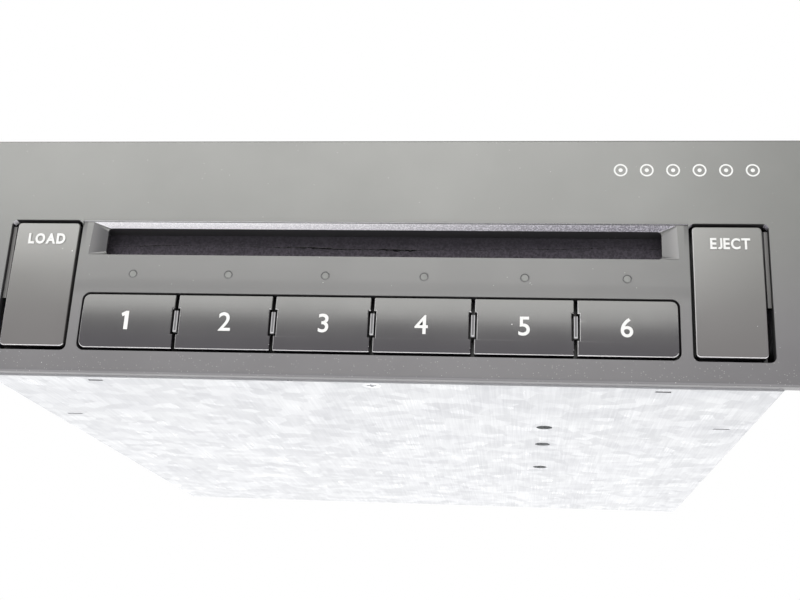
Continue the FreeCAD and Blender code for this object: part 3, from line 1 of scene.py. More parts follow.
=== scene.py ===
# %% [markdown]
# # A six-disc changer for a dashboard
#
# The construction is already made: sixty pieces at their real size, with the joints that the keys, the
# roller, the tray stack and the play deck move on. This file dresses them. It gives every part the finish
# of the real material, models the pieces that a solid modeller draws badly, such as printed legends, felt
# and screw threads, and sets up a camera and plain light.
#
# Everything is in metres in the frame of the construction: +X to the right, +Y into the unit, +Z up.

# %% The construction
import json
import math
import random

import bmesh
import bpy
from mathutils import Matrix, Quaternion, Vector


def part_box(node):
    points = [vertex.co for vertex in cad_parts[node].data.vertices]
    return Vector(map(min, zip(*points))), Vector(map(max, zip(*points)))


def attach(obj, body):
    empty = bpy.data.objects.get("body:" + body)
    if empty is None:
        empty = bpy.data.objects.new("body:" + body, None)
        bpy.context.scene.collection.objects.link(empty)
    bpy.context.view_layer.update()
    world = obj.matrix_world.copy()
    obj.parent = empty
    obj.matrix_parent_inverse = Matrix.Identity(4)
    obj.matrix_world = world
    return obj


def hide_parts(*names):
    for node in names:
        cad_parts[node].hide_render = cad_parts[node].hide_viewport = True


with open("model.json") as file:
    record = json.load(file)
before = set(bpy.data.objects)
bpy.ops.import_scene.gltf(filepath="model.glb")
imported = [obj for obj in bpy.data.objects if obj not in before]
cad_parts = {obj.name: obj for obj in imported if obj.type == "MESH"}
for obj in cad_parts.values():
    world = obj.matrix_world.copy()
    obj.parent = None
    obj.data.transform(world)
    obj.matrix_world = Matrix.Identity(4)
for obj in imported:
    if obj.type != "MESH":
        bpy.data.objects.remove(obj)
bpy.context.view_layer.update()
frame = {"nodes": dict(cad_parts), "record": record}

MM = 0.001
node_body = {node: body for body, nodes in frame["record"]["behaviour"]["bodies"].items() for node in nodes}

# %% [markdown]
# ## Places that the later cells need
#
# A piece that is added here has to sit on what carries it, so its place is worked out from the boxes of the
# parts and never typed twice. The front of the moulding is the plane that the eye sees first, and the keys
# are numbered from the left.

# %% Landmarks
front_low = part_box("fascia")[0]
FRONT = front_low.y
DISC_KEYS = [f"disc_key_{number}" for number in range(1, 7)]
END_KEYS = ["load_key", "eject_key"]
KEYS = DISC_KEYS + END_KEYS
for name in KEYS:
    low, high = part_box(name)
    print(name, "front at", round((low.y - FRONT) / MM, 3), "mm behind the front plane")

# %% [markdown]
# ## Camera
#
# The unit is seen from a little below its own floor, from near the right of centre, with the horizon tipped
# by nearly three degrees. A camera is aimed by turning its -Z axis to a point, and the tip is one more turn
# about that same axis.

# %% Camera
EYE = Vector((32.9, -332.8, -62.4)) * MM
AIM = Vector((6.1, -92.75, 18.5)) * MM
TIP = math.radians(2.79)
LENS = 51.0

bpy.ops.object.camera_add(location=EYE)
camera = bpy.context.object
camera.name = "camera"
camera.data.lens = LENS
camera.data.sensor_width = 36.0
camera.data.clip_start = 0.01
camera.rotation_mode = "QUATERNION"
camera.rotation_quaternion = (AIM - EYE).to_track_quat("-Z", "Y") @ Quaternion((0, 0, 1), TIP)
bpy.context.scene.camera = camera
bpy.context.scene.view_settings.view_transform = "Standard"
print("camera is", round((AIM - EYE).length / MM), "mm from the front")

# %% [markdown]
# ## Helpers for shader nodes
#
# Every finish below is a small network of nodes. A few helpers keep the cells short: one turns a colour as
# it looks on a screen (0 to 255) into the linear values that a shader works in, one adds a node and feeds
# it, and three more add the nodes that come up most, which mix two colours, calculate, and carry a value
# from one range to another.


# %% Helpers for shader nodes
def tone(red, green, blue):
    """A display colour, 0 to 255, as linear values."""
    linear = []
    for part in (red / 255, green / 255, blue / 255):
        linear.append(part / 12.92 if part <= 0.04045 else ((part + 0.055) / 1.055) ** 2.4)
    return (*linear, 1.0)


def feed(tree, socket, source):
    """Links a socket to another, or sets it to a plain value."""
    if isinstance(source, bpy.types.NodeSocket):
        tree.links.new(source, socket)
    else:
        socket.default_value = source


def add(tree, kind, inputs=None, **settings):
    """Adds a node, sets its properties and feeds its inputs, given by name or by number."""
    node = tree.nodes.new(kind)
    for name, value in settings.items():
        setattr(node, name, value)
    for name, source in (inputs or {}).items():
        feed(tree, node.inputs[name], source)
    return node


def mix(tree, factor, first, second):
    """A colour mix; the colour sockets of this node are its inputs 6 and 7 and its output 2."""
    inputs = {0: factor, 6: first, 7: second}
    return add(tree, "ShaderNodeMix", inputs, data_type="RGBA", blend_type="MIX").outputs[2]


def calc(tree, operation, first, second=0.0, clamp=False):
    """The result of a calculation with one or two values."""
    return add(tree, "ShaderNodeMath", {0: first, 1: second}, operation=operation, use_clamp=clamp).outputs[0]


def ramp(tree, value, low, high, to_low=0.0, to_high=1.0, smooth=True):
    """A value carried from one range to another, with soft ends."""
    kind = "SMOOTHSTEP" if smooth else "LINEAR"
    inputs = {0: value, 1: low, 2: high, 3: to_low, 4: to_high}
    return add(tree, "ShaderNodeMapRange", inputs, interpolation_type=kind).outputs[0]


print("a mid grey of 128 is", round(tone(128, 128, 128)[0], 3), "as a linear value")

# %% [markdown]
# ### A material and what it reads
#
# A material starts with its Principled shader alone. Its pattern reads the place and the direction of the
# surface on the part, never those of the camera, so it stays put when the view changes.


# %% A material and what it reads
def new_material(name, **plain):
    """A material with only its Principled shader, whose plain sockets are set here."""
    material = bpy.data.materials.new(name)
    material.use_nodes = True
    tree = material.node_tree
    shader = tree.nodes["Principled BSDF"]
    for socket, value in plain.items():
        shader.inputs[socket.replace("_", " ")].default_value = value
    return material, tree, shader


def place(tree):
    """Object coordinates, which are metres in the frame of the construction."""
    return add(tree, "ShaderNodeTexCoord").outputs["Object"]


def place_parts(tree):
    """The three coordinates one by one: across, deep and up."""
    return add(tree, "ShaderNodeSeparateXYZ", {0: place(tree)}).outputs


def facing_parts(tree):
    """The three parts of the direction in which the surface faces."""
    normal = add(tree, "ShaderNodeTexCoord").outputs["Normal"]
    return add(tree, "ShaderNodeSeparateXYZ", {0: normal}).outputs


def dress_shader(tree, shader, colour, roughness, normal):
    """Feeds the three sockets that a finish drives: its colour, its gloss and its relief."""
    feed(tree, shader.inputs["Base Color"], colour)
    feed(tree, shader.inputs["Roughness"], roughness)
    feed(tree, shader.inputs["Normal"], normal)


print("patterns read places in metres on the part")

# %% [markdown]
# ## Shared surface effects
#
# Moulded plastic, plated sheet and rubber all have a fine relief, uneven gloss and a little dust, only in
# other amounts. Such an effect is best made once, as a node group with named inputs, and placed in each
# material with its own values. A group here gives out colours, masks and normals only; the shader itself
# stays in the material.


# %% A new node group
def new_group(name, inputs, outputs):
    """An empty group with its sockets; gives the group, what it is given and what it puts out."""
    group = bpy.data.node_groups.new(name, "ShaderNodeTree")
    for label, kind, value in inputs:
        socket = group.interface.new_socket(label, in_out="INPUT", socket_type=kind)
        if value is not None:
            socket.default_value = value
    for label, kind in outputs:
        group.interface.new_socket(label, in_out="OUTPUT", socket_type=kind)
    return group, group.nodes.new("NodeGroupInput").outputs, group.nodes.new("NodeGroupOutput").inputs


FLOAT, COLOUR, VECTOR = "NodeSocketFloat", "NodeSocketColor", "NodeSocketVector"
print("sockets of a group are", FLOAT, COLOUR, "or", VECTOR)

# %% [markdown]
# ### Grain, dust and mottle
#
# The grain is a fine noise that lifts the surface by some micrometres, with a broad noise that makes the
# gloss uneven. Dust could be a noise too, but its specks would then differ only in size: cells of a Voronoi
# texture give each speck a place and a chance of its own. The mottle lets a colour drift between two near
# shades.


# %% Node groups
def make_grain():
    """Fine relief of a spark-eroded or rolled surface, and the uneven gloss that goes with it."""
    inputs = [("Size", FLOAT, 2e-4), ("Relief", FLOAT, 2e-5), ("Gloss", FLOAT, 0.4), ("Spread", FLOAT, 0.1)]
    group, given, out = new_group("surface_grain", inputs, [("Normal", VECTOR), ("Roughness", FLOAT)])
    scale = calc(group, "DIVIDE", 1.0, given["Size"])
    spot = place(group)
    fine = add(group, "ShaderNodeTexNoise", {"Vector": spot, "Scale": scale, "Detail": 2.0}).outputs[0]
    broad = add(group, "ShaderNodeTexNoise", {"Vector": spot, "Scale": 90.0, "Detail": 3.0}).outputs[0]
    bump = add(group, "ShaderNodeBump", {"Strength": 1.0, "Distance": given["Relief"], "Height": fine})
    feed(group, out["Normal"], bump.outputs[0])
    swing = calc(group, "MULTIPLY", calc(group, "SUBTRACT", broad, 0.5), given["Spread"])
    feed(group, out["Roughness"], calc(group, "ADD", given["Gloss"], swing, clamp=True))
    return group


def make_dust():
    """Specks of pale dust: each cell holds one, and only a few cells are kept."""
    inputs = [("Pitch", FLOAT, 0.001), ("Amount", FLOAT, 0.1), ("Size", FLOAT, 0.12)]
    group, given, out = new_group("dust_specks", inputs, [("Mask", FLOAT)])
    scale = calc(group, "DIVIDE", 1.0, given["Pitch"])
    cells = add(group, "ShaderNodeTexVoronoi", {"Vector": place(group), "Scale": scale})
    near = calc(group, "LESS_THAN", cells.outputs["Distance"], given["Size"])
    luck = add(group, "ShaderNodeSeparateColor", {0: cells.outputs["Color"]}).outputs[0]
    kept = calc(group, "LESS_THAN", luck, given["Amount"])
    feed(group, out["Mask"], calc(group, "MULTIPLY", near, kept))
    return group


def make_mottle():
    """A colour that drifts a little between two shades over some millimetres."""
    inputs = [("Light", COLOUR, None), ("Dark", COLOUR, None), ("Size", FLOAT, 0.02)]
    group, given, out = new_group("mottle", inputs, [("Color", COLOUR)])
    scale = calc(group, "DIVIDE", 1.0, given["Size"])
    clouds = {"Vector": place(group), "Scale": scale, "Detail": 4.0}
    clouds = add(group, "ShaderNodeTexNoise", clouds).outputs[0]
    feed(group, out["Color"], mix(group, ramp(group, clouds, 0.35, 0.65), given["Dark"], given["Light"]))
    return group


GRAIN, DUST, MOTTLE = make_grain(), make_dust(), make_mottle()


def use(tree, group, **values):
    """Places a node group in a material and feeds its inputs."""
    node = add(tree, "ShaderNodeGroup", node_tree=group)
    for name, source in values.items():
        feed(tree, node.inputs[name], source)
    return node.outputs


print("shared effects:", ", ".join(group.name for group in (GRAIN, DUST, MOTTLE)))

# %% [markdown]
# ## Plastic of the front
#
# The front is one injection moulding in charcoal ABS with a fine spark-eroded texture. The plastic itself
# is dark: what makes it look grey is the lamp that it reflects, spread wide by the texture. So its colour
# stays low and its refractive index is that of a filled plastic. Shade is painted into the colour as well:
# it runs from a lighter top to a darker foot, the sunk panel round the slot is darker, and all that lies
# behind the face, the openings round the keys among it, is painted near black, as it reflects no lamp.
# The bevel over the slot has a much coarser texture, and its pale colour and glitter are a painted
# reflection. Dust has settled along the strip under the keys. The bevel and the dust are masks worked out
# from a place on the part, so they stay sharp at any distance.


# %% Lines on the front
SLOT_FOOT, MOUTH_TOP = 28.5 * MM, 37.3 * MM
MOUTH_HALF, MOUTH_DEPTH = 69.2 * MM, 2.0 * MM
PANEL_LOW, PANEL_HALF = 19.6 * MM, 70.2 * MM
LAMP_LINE = 24.1 * MM
JOINT_INNER, JOINT_OUTER = 0.72 * MM, 1.02 * MM
KEY_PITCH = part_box("disc_key_2")[0].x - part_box("disc_key_1")[0].x


def band(tree, value, low, high, soft):
    """One inside a range and zero outside it, with soft ends."""
    rise = ramp(tree, value, low - soft, low + soft)
    fall = ramp(tree, value, high - soft, high + soft, 1.0, 0.0)
    return calc(tree, "MULTIPLY", rise, fall)


def inside(tree, across, half):
    """One where a place is nearer to the middle than the given half width."""
    return calc(tree, "LESS_THAN", calc(tree, "ABSOLUTE", across), half)


print("keys repeat every", round(KEY_PITCH / MM, 2), "mm")

# %% [markdown]
# ### Masks of the front
#
# Three places differ from the open face. All that lies behind the face is painted in shade, and the flanks
# of the slot's mouth darken in painted shade the deeper they go. The bevel over the slot carries a painted
# reflection that glitters, more so towards the left, where it faces the lamp. A thin dark joint runs round
# each light pipe; the pipes stand at the pitch of the keys, so one folded coordinate serves all six.


# %% Masks of the front
FACE_ENDS = (FRONT + 0.15 * MM, FRONT + 0.5 * MM)
THROAT = (FRONT + MOUTH_DEPTH, FRONT + MOUTH_DEPTH + 0.2 * MM)
RIM = (front_low.z + 1.2 * MM, front_low.z + 0.8 * MM)
BEVEL_RISE = 1.2 * MM


# the mask of the painted shade that darkens all that lies behind the face
def sunk_mask(tree, deep, up, slot):
    """One on all that lies behind the face, but for the mouth of the slot and the rim under the front."""
    open_face = calc(tree, "SUBTRACT", 1.0, slot)
    sunk = calc(tree, "MULTIPLY", ramp(tree, deep, *FACE_ENDS), open_face)
    sunk = calc(tree, "MAXIMUM", sunk, ramp(tree, deep, *THROAT))
    return calc(tree, "MULTIPLY", sunk, calc(tree, "SUBTRACT", 1.0, ramp(tree, up, *RIM)))


def bevel_mask(tree, deep, up, facing):
    """One on the bevel over the slot, which faces down and lies near the face."""
    height = band(tree, up, MOUTH_TOP - BEVEL_RISE, MOUTH_TOP + 0.1 * MM, 0.03 * MM)
    near = calc(tree, "LESS_THAN", deep, FRONT + MOUTH_DEPTH + 0.02 * MM)
    return calc(tree, "MULTIPLY", calc(tree, "MULTIPLY", height, near), ramp(tree, facing[2], -0.3, -0.5))


def joint_mask(tree, across, up):
    """One on the joint round each light pipe."""
    cell = calc(tree, "PINGPONG", across, KEY_PITCH / 2)
    cell = calc(tree, "SUBTRACT", KEY_PITCH / 2, cell)
    away = add(tree, "ShaderNodeCombineXYZ", {0: cell, 1: calc(tree, "SUBTRACT", up, LAMP_LINE)})
    away = add(tree, "ShaderNodeVectorMath", {0: away.outputs[0]}, operation="LENGTH").outputs["Value"]
    return band(tree, away, JOINT_INNER, JOINT_OUTER, 0.05 * MM)


print("the bevel over the slot is", round(BEVEL_RISE / MM, 1), "mm high")


# %% Plastic of the front
def front_plastic():
    material, tree, shader = new_material("front_plastic", IOR=1.8)
    across, deep, up = place_parts(tree)
    facing = facing_parts(tree)
    # painted shade: the front is lighter at its top and darker towards its foot
    upper = use(tree, MOTTLE, Light=tone(99, 100, 97), Dark=tone(93, 94, 91), Size=0.03)["Color"]
    lower = use(tree, MOTTLE, Light=tone(89, 87, 90), Dark=tone(83, 81, 84), Size=0.02)["Color"]
    base = mix(tree, ramp(tree, up, 2 * MM, 46 * MM), lower, upper)
    grain = use(tree, GRAIN, Size=0.22 * MM, Relief=0.008 * MM, Gloss=0.32, Spread=0.1)

    # painted shade: the sunk panel of the slot is darker, all that lies behind the face is near black,
    # and the flanks of the slot's mouth darken the deeper they go
    mouth = inside(tree, across, MOUTH_HALF)
    slot = calc(tree, "MULTIPLY", band(tree, up, SLOT_FOOT, MOUTH_TOP, 0.05 * MM), mouth)
    panel = band(tree, up, PANEL_LOW, MOUTH_TOP, 1.5 * MM)
    panel = calc(tree, "MULTIPLY", panel, inside(tree, across, PANEL_HALF))
    base = mix(tree, calc(tree, "MULTIPLY", panel, 0.5), base, tone(50, 50, 50))
    sunk = sunk_mask(tree, deep, up, slot)
    base = mix(tree, sunk, base, tone(26, 25, 28))
    # painted shade: the flanks of the slot's mouth darken from the face inwards
    flank = ramp(tree, calc(tree, "ABSOLUTE", facing[0]), 0.2, 0.5)
    depth = ramp(tree, deep, FRONT + 0.1 * MM, FRONT + 1.7 * MM)
    shade = mix(tree, depth, tone(99, 98, 99), tone(47, 46, 49))
    base = mix(tree, calc(tree, "MULTIPLY", slot, flank), base, shade)

    # painted reflection: the coarse bevel over the slot is pale and glints, most at the left, where it faces
    # the lamp
    painted_glints = {"Vector": place(tree), "Scale": 3000.0, "Detail": 2.0}
    painted_glints = ramp(tree, add(tree, "ShaderNodeTexNoise", painted_glints).outputs[0], 0.40, 0.66)
    left = mix(tree, painted_glints, tone(228, 226, 231), tone(254, 252, 255))
    right = mix(tree, painted_glints, tone(124, 121, 130), tone(196, 193, 202))
    bevel = mix(tree, ramp(tree, across, -45 * MM, 65 * MM), left, right)
    base = mix(tree, bevel_mask(tree, deep, up, facing), base, bevel)
    base = mix(tree, joint_mask(tree, across, up), base, tone(30, 30, 32))

    # dust, thickest along the strip under the keys
    few = ramp(tree, up, 3 * MM, 8 * MM, 0.3, 0.008)
    fine = use(tree, DUST, Pitch=0.5 * MM, Amount=few, Size=0.2)["Mask"]
    fewer = ramp(tree, up, 3 * MM, 7 * MM, 0.14, 0.01)
    coarse = use(tree, DUST, Pitch=1.3 * MM, Amount=fewer, Size=0.08)["Mask"]
    base = mix(tree, calc(tree, "MULTIPLY", fine, 0.5), base, tone(170, 167, 166))
    base = mix(tree, calc(tree, "MULTIPLY", coarse, 0.8), base, tone(180, 178, 176))
    rough = calc(tree, "ADD", grain["Roughness"], calc(tree, "MULTIPLY", sunk, 0.3))
    dress_shader(tree, shader, base, rough, grain["Normal"])
    return material


FINISH = {"front_plastic": front_plastic()}
print("the front has", len(FINISH["front_plastic"].node_tree.nodes), "nodes")

# %% [markdown]
# ## Plastic of the keys
#
# The keys are moulded separately and lacquered, so they are darker than the front and smoother. Each one is
# crowned from top to bottom: its upper half leans back towards the lamp and its lower half leans forward to
# the darker room, and both are painted into the colour: a painted sheen at the head, and a painted shade
# with a violet tinge at the foot. The lower edges, and the left edges half as much, carry a painted
# highlight; that mask reads the direction of the surface, which at a rounded edge turns quickly. Beside
# each end key lies a ledge with painted light on it, where the key would shade it, behind a thin painted
# shadow line, and the skirts of all keys are painted in shade.


# %% Plastic of the keys
LEDGE_START, LEDGE_SHADOW_LINE = 86.25 * MM, 0.45 * MM
SKIRT = (FRONT + 1.0 * MM, FRONT + 1.3 * MM)


def worn_mask(tree, facing):
    """One on the rounded lower edge of a key, and half as much on its left edge."""
    front = ramp(tree, facing[1], -0.2, -0.4)
    below = calc(tree, "MULTIPLY", ramp(tree, facing[2], -0.2, -0.4), front)
    left = calc(tree, "MULTIPLY", ramp(tree, facing[0], -0.3, -0.5), front)
    return calc(tree, "MAXIMUM", below, calc(tree, "MULTIPLY", left, 0.5))


def key_lacquer(name, key, upper, lower):
    """Lacquer with a painted sheen at the head of a key that runs to a painted shade at its foot."""
    material, tree, shader = new_material(name, IOR=1.8)
    across, deep, up = place_parts(tree)
    low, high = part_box(key)
    # painted sheen at the head of the key and painted shade at its foot
    colour = mix(tree, ramp(tree, up, low.z, high.z), lower, upper)
    # painted highlight on the rounded lower and left edges of the key
    colour = mix(tree, worn_mask(tree, facing_parts(tree)), colour, tone(244, 242, 244))
    aside = calc(tree, "ABSOLUTE", across)
    # painted shadow: a thin dark line beside the key, in front of the ledge
    shadow_line = calc(tree, "GREATER_THAN", aside, LEDGE_START)
    colour = mix(tree, shadow_line, colour, tone(22, 21, 24))
    # painted light: the ledge is lighter than the shade that the key throws on it
    ledge = calc(tree, "GREATER_THAN", aside, LEDGE_START + LEDGE_SHADOW_LINE)
    colour = mix(tree, ledge, colour, tone(138, 137, 136))
    # painted shade on the skirt of the key, behind its face
    colour = mix(tree, ramp(tree, deep, *SKIRT), colour, tone(22, 21, 24))
    specks = use(tree, DUST, Pitch=2.4 * MM, Amount=0.035, Size=0.06)["Mask"]
    colour = mix(tree, specks, colour, tone(180, 178, 178))
    grain = use(tree, GRAIN, Size=0.4 * MM, Relief=0.002 * MM, Gloss=0.22, Spread=0.1)
    dress_shader(tree, shader, colour, grain["Roughness"], grain["Normal"])
    return material


# each lacquer: the key whose height it spans, its painted sheen at the head and its painted shade at the foot
KEY_FINISHES = {
    "key_plastic": ("disc_key_1", tone(44, 44, 42), tone(33, 28, 36)),
    "end_key_plastic": ("load_key", tone(97, 97, 94), tone(88, 85, 85)),
}
for name, (key, upper, lower) in KEY_FINISHES.items():
    FINISH[name] = key_lacquer(name, key, upper, lower)
print("finishes so far:", ", ".join(FINISH))

# %% [markdown]
# ## Sheet steel
#
# The case is folded from zinc-plated sheet: a pale grey metal, faintly cloudy, with fine marks along the
# way it was rolled. Zinc sets in flat crystals, each a little lighter or darker than its neighbours, so a
# Voronoi texture gives the pattern. The rolling marks are a noise that is stretched fifty times from front
# to rear.


# %% Sheet steel
def case_steel():
    """Zinc-plated sheet: a faint pattern of zinc crystals and rolling marks from front to back."""
    material, tree, shader = new_material("case_steel", Metallic=0.85)
    cells = {"Vector": place(tree), "Scale": 260.0, "Randomness": 1.0}
    cells = add(tree, "ShaderNodeTexVoronoi", cells)
    crystal = add(tree, "ShaderNodeSeparateColor", {0: cells.outputs["Color"]}).outputs[0]
    clouds = use(tree, MOTTLE, Light=tone(203, 204, 206), Dark=tone(194, 195, 198), Size=0.02)["Color"]
    base = mix(tree, calc(tree, "MULTIPLY", crystal, 0.35), clouds, tone(174, 175, 179))
    stretched = {"Vector": place(tree), "Scale": (1.0, 0.02, 1.0)}
    stretched = add(tree, "ShaderNodeMapping", stretched).outputs[0]
    lines = {"Vector": stretched, "Scale": 2600.0, "Detail": 3.0}
    lines = add(tree, "ShaderNodeTexNoise", lines).outputs[0]
    rolled = ramp(tree, lines, 0.3, 0.7, 0.26, 0.38)
    rough = calc(tree, "ADD", rolled, calc(tree, "MULTIPLY", crystal, 0.1))
    bump = add(tree, "ShaderNodeBump", {"Distance": 0.003 * MM, "Height": lines})
    dress_shader(tree, shader, base, rough, bump.outputs[0])
    return material


FINISH["case_steel"] = case_steel()
print("sheet steel has", len(FINISH["case_steel"].node_tree.nodes), "nodes")

# %% [markdown]
# ## Pillars and felt
#
# Small grey pillars stand between the keys, part of the black plate behind them. Their moulded edges carry
# a painted highlight, taken from the distance to the middle of a pillar and from the height; the depth sets
# the black of the plate. The felt that closes the slot is fibre of two near shades, with a painted shade
# that deepens towards its upper edge, and with the soft sheen of nap.

# %% Pillars and felt
PILLAR_FOOT = 10.5 * MM
PLATE = (FRONT + 0.9 * MM, FRONT + 1.3 * MM)


def pillar_plastic():
    """Grey pillars with a painted highlight on their moulded edges; the plate that carries them is black."""
    material, tree, shader = new_material("pillar_plastic", IOR=1.6)
    across, deep, up = place_parts(tree)
    # painted highlight on the sides of each pillar and along its foot
    beside = calc(tree, "PINGPONG", across, KEY_PITCH / 2)
    side = ramp(tree, beside, 0.2 * MM, 0.3 * MM)
    edge = calc(tree, "MAXIMUM", side, ramp(tree, up, PILLAR_FOOT + 0.2 * MM, PILLAR_FOOT))
    colour = mix(tree, edge, tone(84, 83, 86), tone(176, 175, 178))
    colour = mix(tree, ramp(tree, deep, *PLATE), colour, tone(16, 16, 18))
    grain = use(tree, GRAIN, Size=0.3 * MM, Relief=0.003 * MM, Gloss=0.35, Spread=0.16)
    dress_shader(tree, shader, colour, grain["Roughness"], grain["Normal"])
    return material


def dark_felt():
    """Pressed felt: two shades of fibre, with a painted shade towards its upper edge."""
    material, tree, shader = new_material("dark_felt", Sheen_Weight=0.4)
    low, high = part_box("dust_felts")
    # painted shade: the felt darkens from a little below its middle up to its upper edge
    shade_from, shade_to = (low.z + high.z) / 2 - 1.5 * MM, high.z - 0.5 * MM
    upper_shade = ramp(tree, place_parts(tree)[2], shade_from, shade_to, 0.0, 0.75, smooth=False)
    fibre = use(tree, MOTTLE, Light=tone(84, 78, 88), Dark=tone(58, 54, 62), Size=0.5 * MM)["Color"]
    grain = use(tree, GRAIN, Size=0.16 * MM, Relief=0.04 * MM, Gloss=0.95, Spread=0.16)
    colour = mix(tree, upper_shade, fibre, tone(36, 33, 40))
    dress_shader(tree, shader, colour, grain["Roughness"], grain["Normal"])
    return material


FINISH["pillar_plastic"] = pillar_plastic()
FINISH["dark_felt"] = dark_felt()
print("the felt's shade rises over its upper half")

# %% [markdown]
# ## Bright steel and the small parts
#
# Screws and shafts are brighter than the sheet. The rest are the plastics, rubbers, films and boards that
# such a unit holds. They all come from one recipe, which takes two shades, the size of their clouds, a
# grain, a gloss and a relief, so a new finish is one more row of the table.


# %% Bright steel and the small parts
def simple_finish(name, light, dark, size, grain, gloss, relief, **plain):
    """A finish from one row of the table."""
    material, tree, shader = new_material(name, **plain)
    colour = use(tree, MOTTLE, Light=light, Dark=dark, Size=size)["Color"]
    surface = use(tree, GRAIN, Size=grain, Relief=relief, Gloss=gloss, Spread=0.16)
    dress_shader(tree, shader, colour, surface["Roughness"], surface["Normal"])
    return material


METAL, CLEAR = {"Metallic": 1.0}, {"Transmission_Weight": 0.6}
RECIPES = {
    "bright_steel": (tone(214, 215, 217), tone(196, 197, 200), 0.004, 2e-4, 0.28, 2e-6, METAL),
    "board_green": (tone(28, 96, 58), tone(20, 80, 46), 0.006, 4e-4, 0.3, 3e-6, {}),
    "black_plastic": (tone(44, 44, 46), tone(36, 36, 38), 0.01, 2e-4, 0.5, 8e-6, {}),
    "white_plastic": (tone(222, 221, 214), tone(212, 211, 203), 0.01, 3e-4, 0.42, 3e-6, {}),
    "lamp_clear": (tone(226, 228, 220), tone(214, 216, 208), 0.002, 4e-4, 0.16, 1e-6, CLEAR),
    "soft_rubber": (tone(52, 52, 54), tone(42, 42, 44), 0.008, 3e-4, 0.72, 8e-6, {}),
    "ribbon_film": (tone(214, 150, 70), tone(196, 134, 58), 0.01, 4e-4, 0.26, 1e-6, {}),
    "pipe_plastic": (tone(124, 125, 123), tone(114, 115, 113), 0.002, 3e-4, 0.3, 3e-6, {}),
    "print_white": (tone(226, 226, 225), tone(218, 218, 217), 0.0008, 8e-5, 0.6, 3e-6, {}),
}
for name, (light, dark, size, grain, gloss, relief, plain) in RECIPES.items():
    FINISH[name] = simple_finish(name, light, dark, size, grain, gloss, relief, **plain)
print(len(FINISH), "finishes")

# %% [markdown]
# ## Helpers for pieces
#
# An operator acts on all that is selected, so the selection is made anew before each one. A finish goes on
# by name, and the corners of a mesh tell where it lies.


# %% Helpers for pieces
def select_only(*chosen):
    """Selects these pieces and no other; the first of them becomes the active one."""
    bpy.ops.object.select_all(action="DESELECT")
    for piece in chosen:
        piece.select_set(True)
    if chosen:
        bpy.context.view_layer.objects.active = chosen[0]


def apply_modifier(piece, kind, **settings):
    """Adds a modifier, sets it and applies it."""
    modifier = piece.modifiers.new("shape", kind)
    for name, value in settings.items():
        setattr(modifier, name, value)
    bpy.ops.object.modifier_apply(modifier="shape")


def dress(piece, finish):
    """Gives a piece one finish."""
    piece.data.materials.clear()
    piece.data.materials.append(FINISH[finish])


def corners(piece):
    """The low and the high corner of a mesh."""
    spots = [vertex.co for vertex in piece.data.vertices]
    return [Vector(map(pick, zip(*spots))) for pick in (min, max)]


print("helpers are ready for", len(frame["nodes"]), "pieces")

# %% [markdown]
# ## Crown of a key
#
# The front of a key is a very flat arc, a third of a millimetre high. As a few long facets it would show as
# bands of light, and smooth shading alone would not mend that, since the facets are wider than the bands.
# So the face is cut into level strips and each new point is set on the true arc.

# %% Crown of a key
CROWN = 0.3 * MM
STRIPS = 27


def near_front(shape, behind):
    """The faces whose middle lies less than a distance behind the front plane."""
    return [face for face in shape.faces if face.calc_center_median().y < FRONT + behind]


def level_cut(shape, faces, height, **limits):
    """Cuts some faces of a mesh at one height."""
    rim = {edge for face in faces for edge in face.edges}
    points = {vertex for face in faces for vertex in face.verts}
    geometry, level = faces + list(rim) + list(points), (0, 0, height)
    bmesh.ops.bisect_plane(shape, geom=geometry, plane_co=level, plane_no=(0, 0, 1), **limits)


def refine_crown(piece):
    """Cuts the bowed front of a key into many level strips that lie on its true arc."""
    shape = bmesh.new()
    shape.from_mesh(piece.data)
    cap = [v.co.z for v in shape.verts if v.co.y < FRONT + 1.0 * MM]
    foot, head = min(cap), max(cap)
    middle, half = (foot + head) / 2, (head - foot) / 2
    radius = (half * half + CROWN * CROWN) / (2 * CROWN)
    for strip in range(1, STRIPS):
        level_cut(shape, near_front(shape, 0.6 * MM), foot + 2 * half * strip / STRIPS)
    for vertex in shape.verts:
        true = FRONT + radius - math.sqrt(radius * radius - (vertex.co.z - middle) ** 2)
        if abs(vertex.co.y - true) < 0.03 * MM:
            vertex.co.y = true
    bmesh.ops.remove_doubles(shape, verts=shape.verts[:], dist=3e-6)
    bmesh.ops.triangulate(shape, faces=shape.faces[:])
    shape.to_mesh(piece.data)
    shape.free()


print("a key gets", STRIPS, "strips")

# %% [markdown]
# ## Folds of the front
#
# The panel round the slot is sunk by a fraction of a millimetre and runs out into the lower face without an
# edge. Shading alone would spread that turn over the whole face, so three level cuts hold it to a few
# millimetres. Every edge that turns by more than 24 degrees is marked sharp.

# %% Folds of the front
PANEL_FOOT = MOUTH_TOP - 15 * MM
RUN_OUT = 2.2 * MM
SHARP = 24


def keep_folds(piece):
    """Marks the folds of the moulding, and lets the sunk panel run out over a few millimetres."""
    shape = bmesh.new()
    shape.from_mesh(piece.data)
    for height in (PANEL_FOOT - RUN_OUT, PANEL_FOOT, PANEL_FOOT + RUN_OUT):
        front = [face for face in near_front(shape, 0.4 * MM) if face.normal.y < -0.9]
        level_cut(shape, front, height, dist=1e-6)
    for edge in shape.edges:
        if len(edge.link_faces) == 2 and math.degrees(edge.calc_face_angle(0.0)) > SHARP:
            edge.smooth = False
    shape.to_mesh(piece.data)
    shape.free()


print("the panel's foot is", round(PANEL_FOOT / MM, 1), "mm up")

